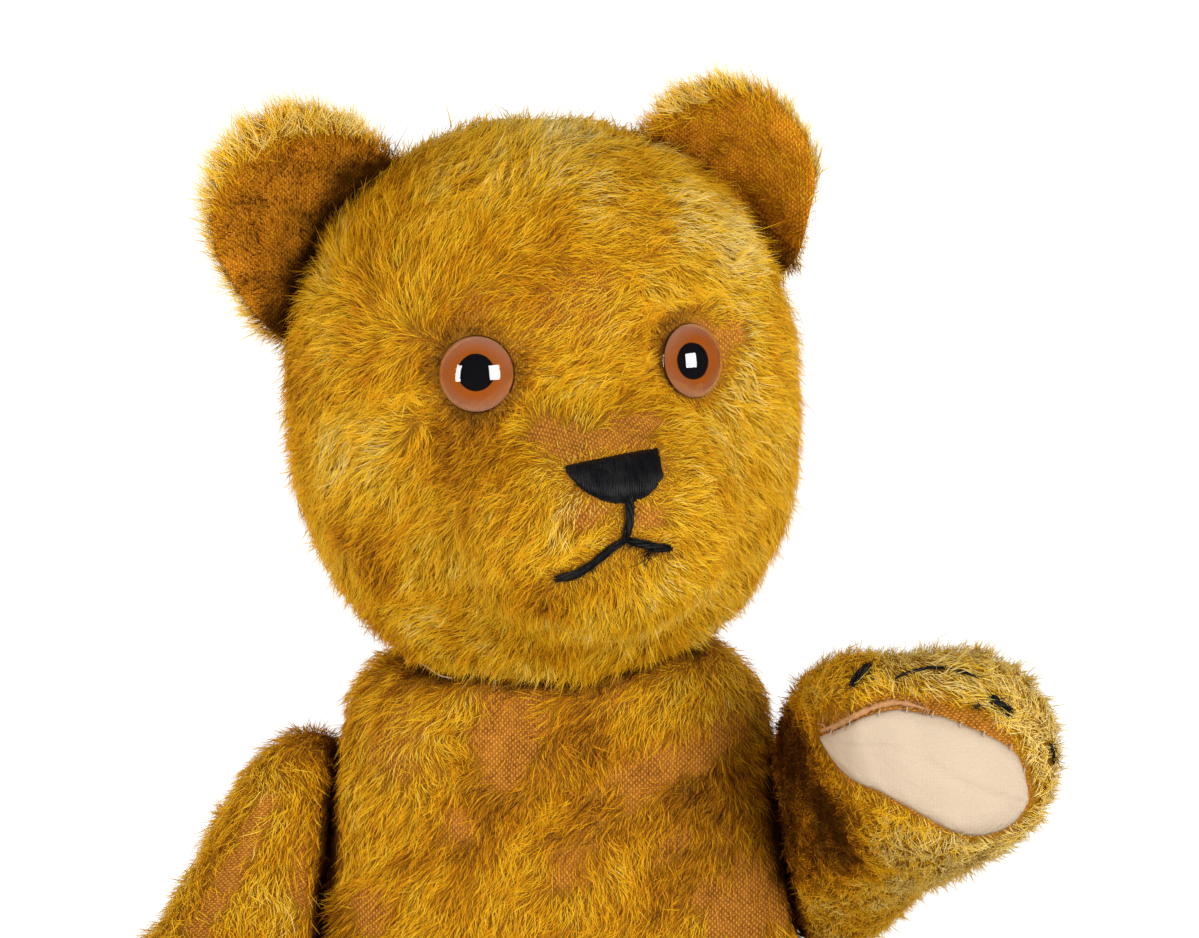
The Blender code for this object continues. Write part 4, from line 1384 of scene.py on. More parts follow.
# %% Cotton pads
PAD_TOP = (
    (-30.8, 8.6), (-25.7, 10.4), (-20.2, 13.0), (-15.3, 14.6), (-10.5, 15.3), (-5.6, 14.6),
    (0.5, 13.6), (5.3, 11.7), (10.2, 9.7), (15.0, 7.3), (18.9, 4.5), (20.8, 1.1), (21.9, -3.2),
    (22.3, -7.0),
)
PAD_LOW = (
    (-30.8, 8.0), (-29.0, 4.8), (-26.9, 2.0), (-23.8, -1.2), (-20.2, -3.6), (-15.9, -5.1),
    (-11.7, -7.4), (-7.7, -9.6), (-3.8, -11.8), (-0.1, -13.9), (4.1, -15.9), (9.0, -16.7),
    (13.8, -15.9), (18.1, -13.8), (20.9, -10.7), (22.3, -7.6),
)
SOLE_MIDDLE = (6, 20)  # forward, out; mm
SOLE_HALF = (27, 16)
PAD_COLUMNS, PAD_ROWS = 48, 25
PAD_LIFT = 0.85  # mm between the pad and the cloth, inside its edge
PAD_TUCK = 0.1  # and at its edge
EDGE_TURN = 1.7  # mm over which the edge dips
FOLD_HEIGHT = 1.1  # mm
FOLD_AT, FOLD_BEND, FOLD_WIDTH = 0.52, 0.05, 0.055  # shares of the pad's height
RIPPLE = 0.14  # mm that the pad's middle rises and falls
PUCKER = 0.3  # mm that its gathered edge does
PAD_THICK = 0.45 * MM


def paw_outline():
    return smooth_line(PAD_TOP, PAD_COLUMNS), smooth_line(PAD_LOW, PAD_COLUMNS)


def sole_outline():
    turn = np.linspace(math.pi, 0, PAD_COLUMNS)
    along = SOLE_MIDDLE[0] + SOLE_HALF[0] * np.cos(turn) * 0.998
    reach = SOLE_HALF[1] * np.maximum(np.sin(turn), 0.04)
    middle_of = SOLE_MIDDLE[1]
    return np.stack((along, middle_of + reach), 1), np.stack((along, middle_of - reach), 1)


def fold(share, run):
    """A soft crease across the pad, a ridge beside a hollow."""
    at = (share - FOLD_AT - FOLD_BEND * math.sin(run * 5)) / FOLD_WIDTH
    return FOLD_HEIGHT * at * math.exp(-at * at) * math.sin(math.pi * run) ** 0.5


def pad_mesh(name, mark, word, outline):
    top, low = outline
    points, flat, inner = [], [], []
    for i, share in enumerate(np.linspace(0, 1, PAD_ROWS)):
        for j, run in enumerate(np.linspace(0, 1, PAD_COLUMNS)):
            spot = low[j] + (top[j] - low[j]) * share
            height = np.linalg.norm(top[j] - low[j])
            ends = min(j, PAD_COLUMNS - 1 - j) / (PAD_COLUMNS - 1) * 50
            edge = min(share * height, (1 - share) * height, ends)
            at, way = mark(word, *spot)
            lift = PAD_TUCK + (PAD_LIFT - PAD_TUCK) * float(step(edge, 0, EDGE_TURN))
            lift += fold(share, run) * float(step(edge, 1, 5))
            lift += RIPPLE * math.sin(spot[0] * 0.55 + share * 3) * float(step(edge, 1, 6))
            gathers = math.exp(-(((edge - 1.6) / 1.3) ** 2))
            lift += PUCKER * math.sin(spot[0] * 1.9 + 2 * spot[1]) * gathers
            points.append(at + way * lift * MM)
            flat.append(spot)
            inner.append(edge)
    faces = []
    for i in range(PAD_ROWS - 1):
        for j in range(PAD_COLUMNS - 1):
            k = i * PAD_COLUMNS + j
            faces.append((k, k + 1, k + PAD_COLUMNS + 1, k + PAD_COLUMNS))
    mesh = bpy.data.meshes.new(name)
    mesh.from_pydata([tuple(p) for p in points], [], faces)
    add_map(mesh, "weave", (np.array(flat) * MM)[corners_of(mesh)])
    store(mesh, "edge", np.array(inner, float))
    area = sum(polygon.area for polygon in mesh.polygons)
    if sum(np.array(polygon.normal) @ way for polygon in mesh.polygons) < 0:
        mesh.flip_normals()
    grid = np.array(points).reshape(PAD_ROWS, PAD_COLUMNS, 3)
    length = np.linalg.norm(np.diff(grid[PAD_ROWS // 2], axis=0), axis=1).sum()
    width = np.linalg.norm(np.diff(grid, axis=0), axis=2).sum(0).max()
    return mesh, float(area), float(width), float(length)


# %% Cotton finish
COTTON = (0.46, 0.36, 0.26)
COTTON_AGED_SHADED = (0.36, 0.265, 0.175)
COTTON_DIRTY = (0.45, 0.30, 0.16, 1)
COTTON_PITCH = 0.34 * MM
EDGE_SHADE_REACH = 4.0  # painted shade: mm over which a pad is darker towards its edge, where it turns under


def cotton_finish():
    made, wire, shader = finish_tree("pad_cotton")
    flat = wire("ShaderNodeUVMap", {"uv_map": "weave"})
    place = wire("ShaderNodeTexCoord", out="Object")
    height = plain_weave(wire, flat, COTTON_PITCH)
    mottle = wire.maths("MULTIPLY", noise(wire, place, 55.0, 4.0), 0.8)
    # darker towards the edge where the pad turns under, and lighter on the weave's crowns: painted
    # shade and highlight; the mottle is the cotton's own age
    edge = wire.maths("MULTIPLY", fade(wire, attribute(wire, "edge"), 0.0, EDGE_SHADE_REACH), 0.45)
    aged_and_shaded = wire.maths("ADD", mottle, edge)
    aged_and_shaded = wire.maths("ADD", aged_and_shaded, wire.maths("MULTIPLY_ADD", height, 0.36, -0.18))
    colour = ramp(wire, aged_and_shaded, ((0.25, COTTON_AGED_SHADED), (0.75, COTTON)))
    dirt = wire.maths("MULTIPLY", fade(wire, noise(wire, place, 1300.0, 1.0), 0.74, 0.8), 0.6)
    colour = blend(wire, dirt, colour, COTTON_DIRTY)
    dress(wire, shader, colour, roughness=0.85, specular=0.15)
    crumple = wire.maths("MULTIPLY", noise(wire, place, 170.0, Distortion=1.2), 0.85)
    relief = wire.maths("ADD", wire.maths("MULTIPLY", height, 0.2), crumple)
    emboss(wire, shader, relief, strength=0.8, depth=0.7 * MM)
    return made


COTTON_FINISH = cotton_finish()

# %% Sew on the pads
PAD_STITCHES = 9
STITCH_HALF, STITCH_SLANT = 0.8, 0.15  # mm up and across, from a stitch's middle to its end
STITCH_HIGH, STITCH_SINK = 1.5, 0.9  # mm that its middle stands up, and its ends go down from that
PAD_CLEAR = 2.4 * MM
PAD_INNER = 1.6  # mm from the edge


def inner_part(mesh):
    """The pad without its edge: no hair comes from under it."""
    edge = field(mesh, "edge")
    made = bpy.data.meshes.new(mesh.name + "_inner")
    faces = [p.vertices[:] for p in mesh.polygons if edge[list(p.vertices)].min() > PAD_INNER]
    made.from_pydata([tuple(v.co) for v in mesh.vertices], [], faces)
    return made


def sewn_pad(kind, word, mark, outline, limb):
    name = f"{kind}_cotton_{word}"
    mesh, area, width, length = pad_mesh(name, mark, word, outline)
    mesh.materials.append(COTTON_FINISH)
    source = new_object(name + "_source", mesh)
    thick = source.modifiers.new("Thickness", "SOLIDIFY")
    thick.thickness = PAD_THICK
    thick.offset = -1
    made = settled(source)
    made.name = name
    made.shade_smooth()
    pad = new_object(name, made)
    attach(pad, limb)
    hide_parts(f"{kind}_pad_{word}")
    keep_clear(limb, made, 0.2 * MM)
    keep_clear(limb, inner_part(mesh), PAD_CLEAR)
    make_room(SKINS[limb], tree_over(made), kind)
    print(name, "cut", round(width / MM, 1), "by", round(length / MM, 1), "mm")


def slip_stitches(mark, word, edge):
    """Short stitches across a pad's edge."""
    lines = []
    for k in np.linspace(3, len(edge) - 6, PAD_STITCHES).astype(int):
        middle_of = edge[k] + LOOSE.normal(0, 0.3, 2)
        points = []
        for share in np.linspace(-1, 1, 5):
            across, up = middle_of + share * np.array((STITCH_SLANT, STITCH_HALF))
            at, way = mark(word, across, up)
            points.append(at + way * (STITCH_HIGH - STITCH_SINK * share * share) * MM)
        lines.append((np.array(points), 1.0))
    return lines


for word in ("left", "right"):
    sewn_pad("paw", word, paw_mark, paw_outline(), "arm_" + word)
    sewn_pad("foot", word, sole_mark, sole_outline(), "leg_" + word)
    lines = slip_stitches(paw_mark, word, paw_outline()[0])
    stitches = threads(f"pad_stitches_{word}", lines, 0.16 * MM, COTTON_FINISH)
    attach(stitches, "arm_" + word)

# %% Claws, and what is left of an older pad
CLAW_MARKS = (
    ((-21.9, 20.6), (-20.0, 23.4), (-17.4, 25.6)),
    ((-11.7, 22.7), (-6.8, 24.3), (-0.8, 24.9), (4.1, 24.1), (8.7, 22.6)),
    ((12.3, 17.8), (15.0, 15.6), (17.7, 13.5)),
    ((26.9, 6.8), (27.5, 4.2), (27.6, 1.4)),
)
BLOT_MARKS = ((8.6, 15.9), (10.0, 15.2))
CLAWS = (1, 2, 3, 4)
CLAW_STRANDS = (4, 1, 6, 1)
CLAW_LIFT = 1.9  # mm from the cloth to the middle of the bundle


def on_paw(word, marks, count, lift):
    found = [paw_mark(word, *mark) for mark in smooth_line(marks, count)]
    out = np.array([way for _, way in found])
    return np.array([at for at, _ in found]) + out * lift * MM, out


for word in ("left", "right"):
    lines = []
    for marks, count in zip(CLAW_MARKS, CLAW_STRANDS):
        path, out = on_paw(word, marks, 14, CLAW_LIFT)
        lines += strands(path, out, count, 0.13 * MM * (count + 1), 0.5)
        lines += fibres(path, out, 16 + 7 * count, 3.0 * MM, 1.1 * MM)
    path, out = on_paw(word, BLOT_MARKS, 6, CLAW_LIFT)
    lines += fibres(path, out, 24, 2.2 * MM, 0.8 * MM)
    claws = threads("claw_threads_" + word, lines, 0.46 * MM, FLOSS_FINISH)
    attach(claws, "arm_" + word)
    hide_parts(*(f"claw_{word}_{number}" for number in CLAWS))

# The folded edge of an older pad still shows along the upper edge of the left one.
OLD_EDGE = (
    (-29.8, 10.2), (-25.7, 11.5), (-21.5, 13.6), (-17.8, 15.4), (-14.1, 16.5), (-10.5, 16.9),
    (-6.4, 16.1), (-2.4, 15.0),
)
FELT = (0.36, 0.185, 0.075)
FELT_DARK = (0.28, 0.13, 0.05)


def felt_finish():
    made, wire, shader = finish_tree("old_pad_felt")
    place = wire("ShaderNodeTexCoord", out="Object")
    grain = noise(wire, place, 900.0, 3.0)
    colour = ramp(wire, grain, ((0.3, FELT_DARK), (0.6, FELT)))
    dress(wire, shader, colour, roughness=0.95, specular=0.05)
    emboss(wire, shader, grain, strength=0.6, depth=0.2 * MM)
    return made


path, out = on_paw("left", OLD_EDGE, 40, 0.55)
taper = np.sin(np.linspace(0.2, 0.98, 40) * math.pi) ** 0.6 * (1 + 0.3 * waves(path, 2 * MM, 77))
frayed = fibres(path, out, 60, 1.8 * MM, 1.2 * MM)
old_edge = threads("old_pad_edge", [(path, taper), *frayed], 0.85 * MM, felt_finish(), sides=8)
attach(old_edge, "arm_left")
keep_clear("arm_left", old_edge.data, 0.3 * MM)

# %% Wear round the left paw, and painted shadow beside it
STRIP = 4.8  # mm of worn cloth above the pad
STRIP_BARE, STRIP_SHORT, STRIP_SOOT = 0.74, 0.62, 0.6
# the hollow beside the torso has shorter pile, and its darkness is painted shadow
HOLLOW_SHORT, HOLLOW_SHADOW = 0.25, 0.8
# The hollow's border: up the paw, and how far across it lies there, mm.
HOLLOW = ((-27, -23), (-20, -18.5), (-8, -23), (2.5, -30), (12, -31.5), (20, -32.5))


def paw_wear():
    """The worn strip above the pad, and the short pile with painted shadow in the hollow beside the
    torso.
    """
    mesh = SKINS["arm_left"]
    local = local_points(points_of(mesh), FRAMES["arm_left"]) / MM
    offsets = local * mirror_of("left") - PAW_MIDDLE
    across, up, ahead = offsets @ PAW_RIGHT, offsets @ PAW_UP, offsets @ PAW_FACING
    above = up - np.interp(across, *np.array(PAD_TOP).T)
    ragged = waves(points_of(mesh), 5 * MM, 78) * 0.8
    strip = (1 - step(above + ragged, 0.75 * STRIP, 1.2 * STRIP)) * step(above, -2, 0)
    strip *= step(across, -33, -29) * (1 - step(across, 17, 22)) * step(ahead, -34, -26)
    border = np.interp(up, *np.array(HOLLOW).T)
    rough = waves(points_of(mesh), 8 * MM, 79) * 2.5
    hollow = step(border - across + rough, -4, 6) * (1 - step(up + rough, 10, 19))
    hollow *= step(up + rough, -36, -22) * step(ahead + rough, -90, -62)
    pile = field(mesh, "pile") * (1 - STRIP_SHORT * strip) * (1 - HOLLOW_SHORT * hollow)
    tone = field(mesh, "tone") - STRIP_SOOT * strip - HOLLOW_SHADOW * hollow
    store(mesh, "cover", field(mesh, "cover") * (1 - STRIP_BARE * strip))
    store(mesh, "pile", pile)
    store(mesh, "tone", np.clip(tone, DARKEST, 1))


paw_wear()

# %% [markdown]
# ## The pile
#
# Mohair is thousands of fine curved hairs that stand out of the weave in locks. Geometry Nodes
# scatter short tapered blades over each cloth, more where more pile is left. Each blade turns to
# the comb direction, leans up from the cloth, and follows a smooth noise shared by its neighbours,
# so that they gather into locks. A blade is two triangles, since there are hundreds of thousands.
# Each keeps its tone, and a value along its length from root to tip for the colour.

# %% Blades
BLADES = ((0.02, -0.10), (0.06, -0.24), (0.10, -0.42), (-0.03, 0.10))


def blade(number, belly, droop):
    mesh = bpy.data.meshes.new(f"blade_{number}")
    points = [(0, 0, 0), (belly, -0.5, 0.42), (belly, 0.5, 0.42), (droop, 0, 1)]
    mesh.from_pydata(points, [], [(0, 2, 1), (1, 2, 3)])
    store(mesh, "along", np.array((0.0, 0.45, 0.45, 1.0)))
    return new_object(mesh.name, mesh)


blade_set = bpy.data.collections.new("blades")
for number, (belly, droop) in enumerate(BLADES):
    blade_set.objects.link(blade(number, belly, droop))
print(len(BLADES), "blade shapes")

# %% Geometry Nodes tree for pile
PILE_INPUTS = (
    ("Blades", "Collection"),
    ("Density", "Float", 1.0),
    ("Length", "Float", PILE),
    ("Width", "Float", 0.3 * MM),
    ("Stand", "Float", 0.36),  # how far a hair leans up, against how far it lies along
    ("Lock Size", "Float", 3.4 * MM),
    ("Ruffle", "Float", 1.0),
    ("Seed", "Int", 1),
    ("Finish", "Material"),
)
LOCK_PULL = 2.6  # how strongly the hairs of a lock turn together
STRAY = 0.3  # how far a hair strays from its lock
LEAST_RISE = 0.18  # so that a hair never points into the cloth
ROLL = 0.9  # radians that a hair is twisted, at most
FLYAWAY = (24.0, 0.7)  # a few hairs are much longer than the rest: how few, and how much
SHADE_CHANCE = 0.25  # how much a hair's tone may differ from its neighbours'
STREAK = 0.6  # how much the tone differs from lock to lock


def pile_tree():
    tree, wire, size = geometry_tree("mohair_pile", "Cloth", PILE_INPUTS, "Pile")

    def kept(name, kind="FLOAT"):
        return wire("GeometryNodeInputNamedAttribute", {"data_type": kind}, Name=name)

    def chance(low, high, seed, kind="FLOAT"):
        number = wire.maths("ADD", size["Seed"], seed)
        limits = {"Min": low, "Max": high, "Seed": number}
        return wire("FunctionNodeRandomValue", {"data_type": kind}, out="Value", **limits)

    density = wire.maths("MULTIPLY", kept("cover"), size["Density"])
    scatter = wire(
        "GeometryNodeDistributePointsOnFaces",
        {"distribute_method": "RANDOM"},
        out=None,
        Mesh=size["Cloth"],
        Density=density,
        Seed=size["Seed"],
    )
    points, normal = scatter.outputs["Points"], scatter.outputs["Normal"]
    pitch = wire.maths("DIVIDE", 1.0, size["Lock Size"])
    swirl = wire("ShaderNodeTexNoise", out="Color", Scale=pitch, Detail=1.5)
    centred = wire.vector("SUBTRACT", swirl, (0.5, 0.5, 0.5))
    locks = wire.vector("SCALE", centred, wire.maths("MULTIPLY", size["Ruffle"], LOCK_PULL))
    stray = chance((-STRAY,) * 3, (STRAY,) * 3, 1, "FLOAT_VECTOR")
    up = wire.vector("SCALE", normal, size["Stand"])
    lean = wire.vector("ADD", kept("comb", "FLOAT_VECTOR"), up)
    lean = wire.vector("ADD", wire.vector("ADD", lean, locks), stray)
    rise = wire.vector("DOT_PRODUCT", lean, normal, out="Value")
    below = wire.maths("MINIMUM", rise, LEAST_RISE)
    lift = wire.vector("SCALE", normal, wire.maths("SUBTRACT", LEAST_RISE, below))
    lean = wire.vector("ADD", lean, lift)
    turn = wire("FunctionNodeAlignRotationToVector", {"axis": "Z"}, Vector=lean)
    turn = wire(
        "FunctionNodeAlignRotationToVector",
        {"axis": "X", "pivot_axis": "Z"},
        Rotation=turn,
        Vector=normal,
    )
    roll = wire("FunctionNodeAxisAngleToRotation", Axis=(0, 0, 1), Angle=chance(-ROLL, ROLL, 2))
    turn = wire("FunctionNodeRotateRotation", {"rotation_space": "LOCAL"}, Rotation=turn, i1=roll)
    length = wire.maths("MULTIPLY", size["Length"], kept("pile"))
    length = wire.maths("MULTIPLY", length, chance(0.55, 1.1, 3))
    rare, longer = FLYAWAY
    flyaway = wire.maths("POWER", chance(0.0, 1.0, 7), rare)
    length = wire.maths("MULTIPLY", length, wire.maths("MULTIPLY_ADD", flyaway, longer, 1.0))
    width = wire.maths("MULTIPLY", size["Width"], chance(0.65, 1.3, 4))
    scale = wire("ShaderNodeCombineXYZ", X=length, Y=width, Z=length)
    blades = {"Collection": size["Blades"], "Separate_Children": True}
    picked = wire("GeometryNodeCollectionInfo", out="Instances", **blades)
    tufts = wire(
        "GeometryNodeInstanceOnPoints",
        Points=points,
        Instance=picked,
        Pick_Instance=True,
        Instance_Index=chance(0, len(BLADES) - 1, 5, "INT"),
        Rotation=turn,
        Scale=scale,
    )
    shade = wire.maths("ADD", kept("tone"), chance(-SHADE_CHANCE, SHADE_CHANCE, 6))
    streak = wire("ShaderNodeTexNoise", out="Fac", Scale=pitch, Detail=3.0)
    shade = wire.maths("ADD", shade, wire.maths("MULTIPLY_ADD", streak, STREAK, -STREAK / 2))
    for name, kind, value in (("shade", "FLOAT", shade), ("cloth_way", "FLOAT_VECTOR", normal)):
        settings = {"data_type": kind, "domain": "INSTANCE"}
        store_kind = "GeometryNodeStoreNamedAttribute"
        tufts = wire(store_kind, settings, Geometry=tufts, Name=name, Value=value)
    real = wire("GeometryNodeRealizeInstances", Geometry=tufts)
    real = wire("GeometryNodeSetMaterial", Geometry=real, Material=size["Finish"])
    wire("NodeGroupOutput", Pile=real)
    return tree


PILE_TREE = pile_tree()
print("pile tree with", len(PILE_TREE.nodes), "nodes")

# %% [markdown]
# ## Finish of the pile
#
# The colour of a hair comes from its own shade and from how far along it a point lies: dark old
# gold at the root, where the shade deep in the pile is painted in, and straw at the tip, where
# light has bleached it. Mohair is a lustrous hair, so it has a broad soft shine. The shading
# normals are turned most of the way to the cloth's own, so that the pile takes the light as one
# soft mass and not as loose flakes.

# %% Mohair finish
PALE_STRAW = (0.93, 0.74, 0.27)
STRAW = (0.90, 0.62, 0.045)
GOLD = (0.86, 0.50, 0.010)
OLD_GOLD = (0.78, 0.375, 0.007)
AMBER = (0.58, 0.215, 0.004)
UMBER = (0.30, 0.095, 0.003)
# the darkest colour: painted shade in hollows and creases, and the darkest worn places
SHADE_AND_SOOT = (0.075, 0.018, 0.002)
SHADES = (
    (0.0, SHADE_AND_SOOT),
    (0.1, UMBER),
    (0.24, AMBER),
    (0.42, OLD_GOLD),
    (0.62, GOLD),
    (0.84, STRAW),
    (1.0, PALE_STRAW),
)
# painted shade: a hair is darker towards its root, deep in the pile, and paler at its tip
ROOT_LIGHT, TIP_LIGHT = 0.55, 1.15
SHINE = (1.0, 0.78, 0.3, 1)
LIGHT_THROUGH = 0.38  # share of the light that passes through a hair


def mohair_finish():
    made, wire, shader = finish_tree("mohair_pile")
    colour = ramp(wire, attribute(wire, "shade"), SHADES)
    light = fade(wire, attribute(wire, "along"), To_Min=ROOT_LIGHT, To_Max=TIP_LIGHT)
    lit = wire.vector("SCALE", colour, light)
    dress(wire, shader, lit, roughness=0.48, specular=0.14)
    shader.inputs["Specular Tint"].default_value = SHINE
    through = wire("ShaderNodeBsdfTranslucent", Color=lit)
    both = wire("ShaderNodeMixShader", i0=LIGHT_THROUGH, i1=shader.outputs[0], i2=through)
    set_surface(wire, both)
    return made


MOHAIR = mohair_finish()
print("finish:", MOHAIR.name)

# %% Grow the pile
SOFT_SHADE = 0.58  # how much of a hair's shading follows the cloth's direction
MAP_WIDTH = 0.004  # half the width of a hair on its map


def area_weights(mesh):
    """Each vertex's share of the surface's area, in square metres."""
    weights = np.zeros(len(mesh.vertices))
    for polygon, area in zip(mesh.polygons, read(mesh.polygons, "area")):
        for index in polygon.vertices:
            weights[index] += area / len(polygon.vertices)
    return weights


def soften_normals(mesh):
    """Turns each corner's shading normal most of the way to the cloth's own direction."""
    ways = unit(vectors(mesh, "cloth_way"))[corners_of(mesh)]
    faces = np.repeat(read(mesh.polygons, "normal", 3), 3, axis=0)
    side = np.sign((faces * ways).sum(1, keepdims=True))
    mixed = unit(ways * SOFT_SHADE + faces * side * (1 - SOFT_SHADE))
    mesh.shade_smooth()
    mesh.normals_split_custom_set(mixed.astype(np.float32))
    mesh.attributes.remove(mesh.attributes["cloth_way"])


def map_by_shade(mesh):
    """A UV map with the shade across and the place along the hair up."""
    corners = corners_of(mesh)
    across = np.clip(field(mesh, "shade"), 0.01, 0.99)[corners]
    up = 0.05 + 0.9 * field(mesh, "along")[corners]
    spread = np.tile((-MAP_WIDTH, 0.0, MAP_WIDTH), len(corners) // 3)
    add_map(mesh, "OFBake", np.stack([across + spread, up], 1))


HAIR_POINTS = 4  # of each blade: root, two sides, tip
HAIR_FACES = ((0, 2, 1), (1, 2, 3))
SIDE, TIP = 1, 3


def near_detail(hairs, details):
    """Which hairs touch a detail: any of their points is closer to it than its clear space."""
    touching = np.zeros(len(hairs), bool)
    for tree, middle_of, reach, clear in details:
        apart = np.linalg.norm(hairs[:, SIDE] - middle_of, axis=1)
        for k in np.flatnonzero(apart < reach + PILE):
            for point in (hairs[k, SIDE], hairs[k, TIP], hairs[k, [SIDE, TIP]].mean(0)):
                if tree.find_nearest(point, clear)[0] is not None:
                    touching[k] = True
                    break
    return touching


def trimmed(mesh, details):
    """The same pile without the hairs that touch a detail."""
    hairs = points_of(mesh).reshape(-1, HAIR_POINTS, 3)
    keep = ~near_detail(hairs, details)
    every = np.repeat(keep, HAIR_POINTS)
    count = int(keep.sum())
    corners = np.array(HAIR_FACES) + np.arange(count)[:, None, None] * HAIR_POINTS
    made = bpy.data.meshes.new(mesh.name)
    made.vertices.add(count * HAIR_POINTS)
    made.vertices.foreach_set("co", hairs[keep].astype(np.float32).ravel())
    made.loops.add(corners.size)
    made.loops.foreach_set("vertex_index", corners.astype(np.int32).ravel())
    made.polygons.add(count * 2)
    made.polygons.foreach_set("loop_start", np.arange(0, corners.size, 3, dtype=np.int32))
    made.update(calc_edges=True)
    made.materials.append(MOHAIR)
    for name in ("shade", "along"):
        store(made, name, field(mesh, name)[every])
    store(made, "cloth_way", vectors(mesh, "cloth_way")[every])
    return made


def grow(cloth, name, triangles, width, seed, mask, details):
    """Pile on a cloth, as a plain mesh with about this many triangles."""
    cover = field(cloth, "cover")
    masked = cover if mask is None else cover * mask
    store(cloth, "cover", masked)
    hairs = float((masked * area_weights(cloth)).sum())
    source = new_object(name + "_source", cloth.copy())
    store(cloth, "cover", cover)
    values = {
        "Blades": blade_set,
        "Density": triangles / 2 / hairs,
        "Width": width,
        "Seed": seed,
        "Finish": MOHAIR,
    }
    mesh = run_tree(source, PILE_TREE, values)
    if details:
        mesh = trimmed(mesh, details)
    soften_normals(mesh)
    map_by_shade(mesh)
    made = new_object(name, mesh)
    mesh.name = name
    print(name, len(mesh.polygons), "triangles")
    return made


# The head's front is seen most, so it gets the finest hair. A row is the body, the piece, its
# cloth, about how many triangles it gets, where on the cloth it grows, and how wide a hair is.
head_points = local_points(points_of(SKINS["head"]), FRAMES["head"]) / MM
front = step(-head_points[:, 1], 4, 5)
torso_points = points_of(SKINS["torso"]) / MM
belly = step(-torso_points[:, 1], -2, -1)
PATCHES = (
    ("head", "head_pile_front", SKINS["head"], 196000, front, 0.19 * MM),
    ("head", "head_pile_back", SKINS["head"], 84000, 1 - front, 0.30 * MM),
    ("torso", "torso_pile_front", SKINS["torso"], 170000, belly, 0.21 * MM),
    ("torso", "torso_pile_back", SKINS["torso"], 54000, 1 - belly, 0.34 * MM),
    ("arm_left", "arm_left_pile", SKINS["arm_left"], 96000, None, 0.21 * MM),
    ("arm_right", "arm_right_pile", SKINS["arm_right"], 68000, None, 0.25 * MM),
    ("leg_left", "leg_left_pile", SKINS["leg_left"], 44000, None, 0.36 * MM),
    ("leg_right", "leg_right_pile", SKINS["leg_right"], 44000, None, 0.36 * MM),
    ("head", "ear_left_pile", EARS["left"], 30000, None, 0.2 * MM),
    ("head", "ear_right_pile", EARS["right"], 30000, None, 0.2 * MM),
)
for seed, (body, name, cloth, triangles, mask, width) in enumerate(PATCHES, 60):
    coat = grow(cloth, name, triangles, width, seed, mask, KEPT_CLEAR[body])
    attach(coat, body)

# %% [markdown]
# ## The woven backing
#
# Where the pile is gone, the plain weave shows: orange-brown threads, one over and one under, most
# of a millimetre apart. The pattern needs flat coordinates in metres, so each cloth gets a UV map
# laid out from the direction that its faces look in. The weave is painted darker between its
# threads and lighter on their crowns, and under the remaining pile the backing has the hair's shade
# painted in.

# %% Weave finish
THREAD_PITCH = 0.7 * MM
THREAD_WANDER = 1.1 * MM  # how far the threads wander from straight lines
WEAVE = (0.40, 0.155, 0.018)
WEAVE_DARK = (0.095, 0.030, 0.004)
# painted shade: the backing's colour under the remaining pile, for the body and the ears
UNDER_PILE = (0.30, 0.125, 0.008)
EAR_WEAVE, EAR_WEAVE_DARK, EAR_UNDER = (0.52, 0.20, 0.010), (0.20, 0.06, 0.004), (0.40, 0.15, 0.008)
SIDE_WEIGHTS = (1, 1.25, 1)  # a face counts as facing front or back a little sooner


def lay_out(mesh, place):
    """A UV map in metres, from the two axes that each face looks along least."""
    sizes = read(mesh.polygons, "loop_total", kind=np.int32)
    ways = turned(read(mesh.polygons, "normal", 3), place.inverted())
    axis = np.repeat(np.abs(ways * SIDE_WEIGHTS).argmax(1), sizes)
    local = local_points(points_of(mesh), place)[corners_of(mesh)]
    first = np.where(axis == 0, local[:, 1], local[:, 0])
    second = np.where(axis == 2, local[:, 1], local[:, 2])
    add_map(mesh, "weave", np.stack([first, second], 1))


def cloth_finish(name, weave, dark, under_pile_shade):
    made, wire, shader = finish_tree(name)
    flat = wire("ShaderNodeUVMap", {"uv_map": "weave"})
    place = wire("ShaderNodeTexCoord", out="Object")
    wobble = wire("ShaderNodeTexNoise", out="Color", Vector=place, Scale=140.0, Detail=1.0)
    wobble = wire.vector("SCALE", wire.vector("SUBTRACT", wobble, (0.5, 0.5, 0.5)), THREAD_WANDER)
    height = plain_weave(wire, wire.vector("ADD", flat, wobble), THREAD_PITCH)
    fuzz, mottle = noise(wire, place, 900.0, 3.0), noise(wire, place, 90.0, 3.0)
    rough = wire.maths("MULTIPLY_ADD", fuzz, 0.8, -0.36)
    # the weave's height makes the colour darker between the threads and lighter on their crowns:
    # painted shade and highlight; the fuzz and mottle are the cloth's own
    level = wire.maths("ADD", wire.maths("MULTIPLY", height, 0.85), rough)
    level = wire.maths("ADD", level, wire.maths("MULTIPLY_ADD", mottle, 0.6, -0.3))
    bright = tuple(1.25 * channel for channel in weave)
    buried = tuple(0.45 * channel for channel in under_pile_shade)
    bare = ramp(wire, level, ((0.05, dark), (0.75, weave), (1.0, bright)))
    # under the pile, the same weave in painted shade
    shadow = ramp(wire, level, ((0.1, buried), (0.8, under_pile_shade)))
    covered = fade(wire, attribute(wire, "cover"), 0.15, 0.75)
    # darker where the tone is low: on worn, dirtier places, and by painted shade in hollows,
    # creases and seams
    soot_and_shade = fade(wire, attribute(wire, "tone"), -0.3, 0.15, To_Min=0.12)
    colour = wire.vector("SCALE", blend(wire, covered, bare, shadow), soot_and_shade)
    dress(wire, shader, colour, roughness=0.9, specular=0.03)
    relief = wire.maths("ADD", height, wire.maths("MULTIPLY", fuzz, 0.5))
    emboss(wire, shader, relief, strength=0.7, depth=0.25 * MM)
    return made


